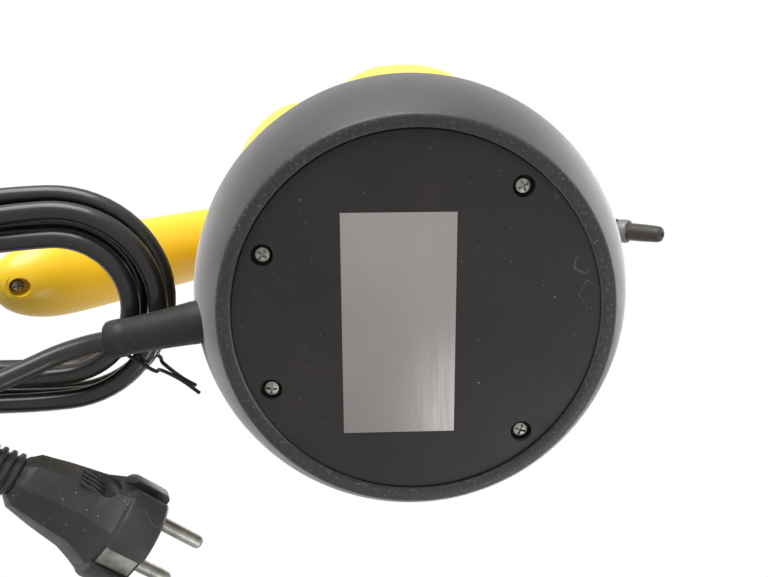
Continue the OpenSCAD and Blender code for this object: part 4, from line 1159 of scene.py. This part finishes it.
class STEAMER_OT_button(bpy.types.Operator):
    """Models the steam button and the indicator's lens"""

    bl_idname = "steamer.button"
    bl_label = "Steam button and lens"

    def execute(self, context):
        button = stacked(outline("steam_key", 48, KEY_SPREAD), [
            (14, 8.5, 168.4), (14, 8.5, 170), (13, 7.5, 170.01), (13, 7.5, 182.1),
            (12.8, 7.3, 182.9), (12.2, 6.7, 183.6), (11, 5.5, 184),
        ])
        for x in (-6, -3, 0, 3, 6):
            cut(button, block("groove", (x - 0.5, -4, 183.4), (x + 0.5, 4, 186)))
        bevelled(button, 0.2, 2, 40)
        stem = lay(rod("stem", 1.8, 162.4, 168.6, 32), (0.5, 0, 0))
        button = lay(joined(button, stem), (BUTTON_X, 0, 0))
        dressed(button, "base_black", "steam_button", body="button")
        lens = turned("lens_dome", [
            (0, 7.6), (3.4, 7.6), (3.4, 13), (3.2, 13.4), (2.6, 13.65), (1.4, 13.8), (0, 13.8),
        ], 48)
        dressed(lay(lens, LENS_AT, (0, 45, 0)), "lens_red", "indicator_lens")
        return {"FINISHED"}


class STEAMER_OT_relief(bpy.types.Operator):
    """Turns the tapered strain relief with its collar"""

    bl_idname = "steamer.relief"
    bl_label = "Strain relief"

    def execute(self, context):
        boot = turned("cord_boot", [
            (3.36, 0), (8.6, 0), (8.9, 0.3), (8.9, 1.3), (8.6, 1.6), (7, 1.7), (7, 7.4), (7.1, 9.6),
            (6.9, 12), (6.5, 18), (6.2, 25), (6.02, 31), (5.98, 32.6), (6.1, 32.9), (6.3, 33.4),
            (6.35, 34.4), (6.3, 36.8), (6.05, 37.8), (5.5, 38.4), (4.7, 38.5), (3.6, 38.5),
            (3.36, 38.1), (3.36, 0),
        ], 72)
        dressed(lay(boot, BOOT_AT, (0, 90, BOOT_YAW)), "rubber_black", "strain_relief")
        return {"FINISHED"}


class STEAMER_OT_wiring(bpy.types.Operator):
    """Lays the steam hose, the wires and the cord's tail inside the body"""

    bl_idname = "steamer.wiring"
    bl_label = "Hose and wires"

    def execute(self, context):
        s = sizes_of(context)
        hose = wire("steam_tube", spline(HOSE, 66), HOSE_R, 20)
        dressed(hose, "hose_silicone", "steam_hose")
        for number, points, slot, node in (
            (1, LIVE_IN, "wire_brown", "live_wires"),
            (2, LIVE_OUT, "wire_brown", "live_wires"),
            (3, EARTH, "wire_green", "earth_wire"),
        ):
            aside = POLE_GAP * (number - 2)
            angle = BLOCK_A + math.degrees(math.atan2(aside, BLOCK_X))
            pole = on_circle(math.hypot(BLOCK_X, aside), angle, POLE_Z)
            line = spline([point or pole for point in points], 40)
            dressed(wire(f"inner_wire_{number}", line, WIRE_R), slot, node)
        along = Vector(on_circle(1, BOOT_YAW))
        tail = [BOOT_AT + along * step for step in (-14.5, 0, 33.5)]
        dressed(wire("inner_tail", tail, s.cord / 2, 16), "cord_rubber", "cord_tail")
        return {"FINISHED"}


class STEAMER_OT_springs(bpy.types.Operator):
    """Winds the three springs"""

    bl_idname = "steamer.springs"
    bl_label = "Springs"

    def execute(self, context):
        for node, body, x, low, high, turns, fixed, joint, travel in SPRINGS:
            heights = steps(low, high, SPRING_STEPS * turns)
            line = [on_circle(SPRING_R, 360 / SPRING_STEPS * i, z) for i, z in enumerate(heights)]
            line = [Vector((x, 0, 0)) + Vector(point) for point in line]
            coil = pick(wire("wound_" + node, line, SPRING_WIRE_R))
            bpy.ops.object.convert(target="MESH")
            dressed(coil, "steel", node, body=body)
            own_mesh(coil)
        return {"FINISHED"}


def lamp(name, at, size, power, aim=(-20, 0, 80)):
    """A soft square lamp that faces a point; lengths are in millimetres."""
    bpy.ops.object.light_add(type="AREA", location=Vector(at) * MM)
    o = bpy.context.object
    o.name = name
    o.data.size = size * MM
    o.data.energy = power
    o.rotation_euler = (Vector(aim) - Vector(at)).to_track_quat("-Z", "Y").to_euler()


def seen_rays(tree, *kinds):
    """1 for rays of the given kinds of Light Path, else 0."""
    rays = tree.nodes.new("ShaderNodeLightPath").outputs
    total = rays[kinds[0]]
    for kind in kinds[1:]:
        either = tree.nodes.new("ShaderNodeMath")
        either.operation = "MAXIMUM"
        tree.links.new(total, either.inputs[0])
        tree.links.new(rays[kind], either.inputs[1])
        total = either.outputs[0]
    return total


def mixed_shader(tree, factor, first, second, output):
    """Mixes two shaders by a factor into the output node."""
    mixer = tree.nodes.new("ShaderNodeMixShader")
    for socket, source in zip(mixer.inputs, (factor, first.outputs[0], second.outputs[0])):
        tree.links.new(source, socket)
    tree.links.new(mixer.outputs[0], output.inputs["Surface"])


class STEAMER_OT_stage(bpy.types.Operator):
    """Sets up the pale floor, the white surroundings and the soft lamps"""

    bl_idname = "steamer.stage"
    bl_label = "Stage"

    def execute(self, context):
        context.scene.view_settings.view_transform = "Standard"
        world = bpy.data.worlds.new("white_room")
        world.use_nodes = True
        tree = world.node_tree
        soft = tree.nodes["Background"]
        soft.inputs["Strength"].default_value = AMBIENT
        soft.inputs["Color"].default_value = (1, 1, 1, 1)
        white = tree.nodes.new("ShaderNodeBackground")
        white.inputs["Color"].default_value = (1, 1, 1, 1)
        rays = seen_rays(tree, "Is Camera Ray", "Is Glossy Ray", "Is Transmission Ray")
        mixed_shader(tree, rays, soft, white, tree.nodes["World Output"])
        context.scene.world = world
        # The floor shows only from above, so that the camera below it sees the base
        bpy.ops.mesh.primitive_plane_add(size=5, location=(0, 0, -0.2 * MM))
        floor = context.object
        floor.name = "floor"
        paper = bpy.data.materials.new("pale_floor")
        paper.use_nodes = True
        tree = paper.node_tree
        tree.nodes.remove(tree.nodes["Principled BSDF"])
        clear = tree.nodes.new("ShaderNodeBsdfTransparent")
        pale = tree.nodes.new("ShaderNodeBsdfDiffuse")
        pale.inputs["Color"].default_value = (0.86, 0.86, 0.86, 1)
        front = tree.nodes.new("ShaderNodeMath")
        front.operation = "SUBTRACT"
        behind = tree.nodes.new("ShaderNodeNewGeometry").outputs["Backfacing"]
        tree.links.new(seen_rays(tree, "Is Camera Ray"), front.inputs[0])
        tree.links.new(behind, front.inputs[1])
        mixed_shader(tree, front.outputs[0], clear, pale, tree.nodes["Material Output"])
        floor.data.materials.append(paper)
        floor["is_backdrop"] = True
        lamp("key_lamp", (-150, -900, -120), 700, 17)
        lamp("low_lamp", (260, 380, -380), 260, 1.5, (0, 0, 0))
        lamp("top_lamp", (300, 300, 1100), 900, 9)
        return {"FINISHED"}


# ---------- panel and registration ----------


PIECES = (
    STEAMER_OT_camera, STEAMER_OT_finishes, STEAMER_OT_plug, STEAMER_OT_tie, STEAMER_OT_cord,
    STEAMER_OT_bowl, STEAMER_OT_base, STEAMER_OT_dome, STEAMER_OT_handle, STEAMER_OT_spout,
    STEAMER_OT_cap, STEAMER_OT_button, STEAMER_OT_relief, STEAMER_OT_wiring, STEAMER_OT_springs,
    STEAMER_OT_stage,
)


class STEAMER_PT_pieces(bpy.types.Panel):
    """Lists the sizes, colours and pieces"""

    bl_idname = "STEAMER_PT_pieces"
    bl_label = "Steam cleaner"
    bl_space_type = "VIEW_3D"
    bl_region_type = "UI"
    bl_category = "Steamer"

    def draw(self, context):
        for group in (context.scene.steamer_sizes, context.scene.steamer_colours):
            box = self.layout.box()
            for name in group.__annotations__:
                box.prop(group, name)
        for cls in PIECES:
            self.layout.operator(cls.bl_idname)


CLASSES = (SteamerSizes, SteamerColours, *PIECES, STEAMER_PT_pieces)


def register():
    for cls in CLASSES:
        bpy.utils.register_class(cls)
    bpy.types.Scene.steamer_sizes = bpy.props.PointerProperty(type=SteamerSizes)
    bpy.types.Scene.steamer_colours = bpy.props.PointerProperty(type=SteamerColours)


def unregister():
    del bpy.types.Scene.steamer_sizes
    del bpy.types.Scene.steamer_colours
    for cls in reversed(CLASSES):
        bpy.utils.unregister_class(cls)


def main():
    register()
    for cls in PIECES:
        group, name = cls.bl_idname.split(".")
        getattr(getattr(bpy.ops, group), name)()
    boxes = {"cad": CAD_BOX, "visual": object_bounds()}
    boxes = {name: [list(corner) for corner in corners] for name, corners in boxes.items()}


if __name__ == "__main__":
    main()
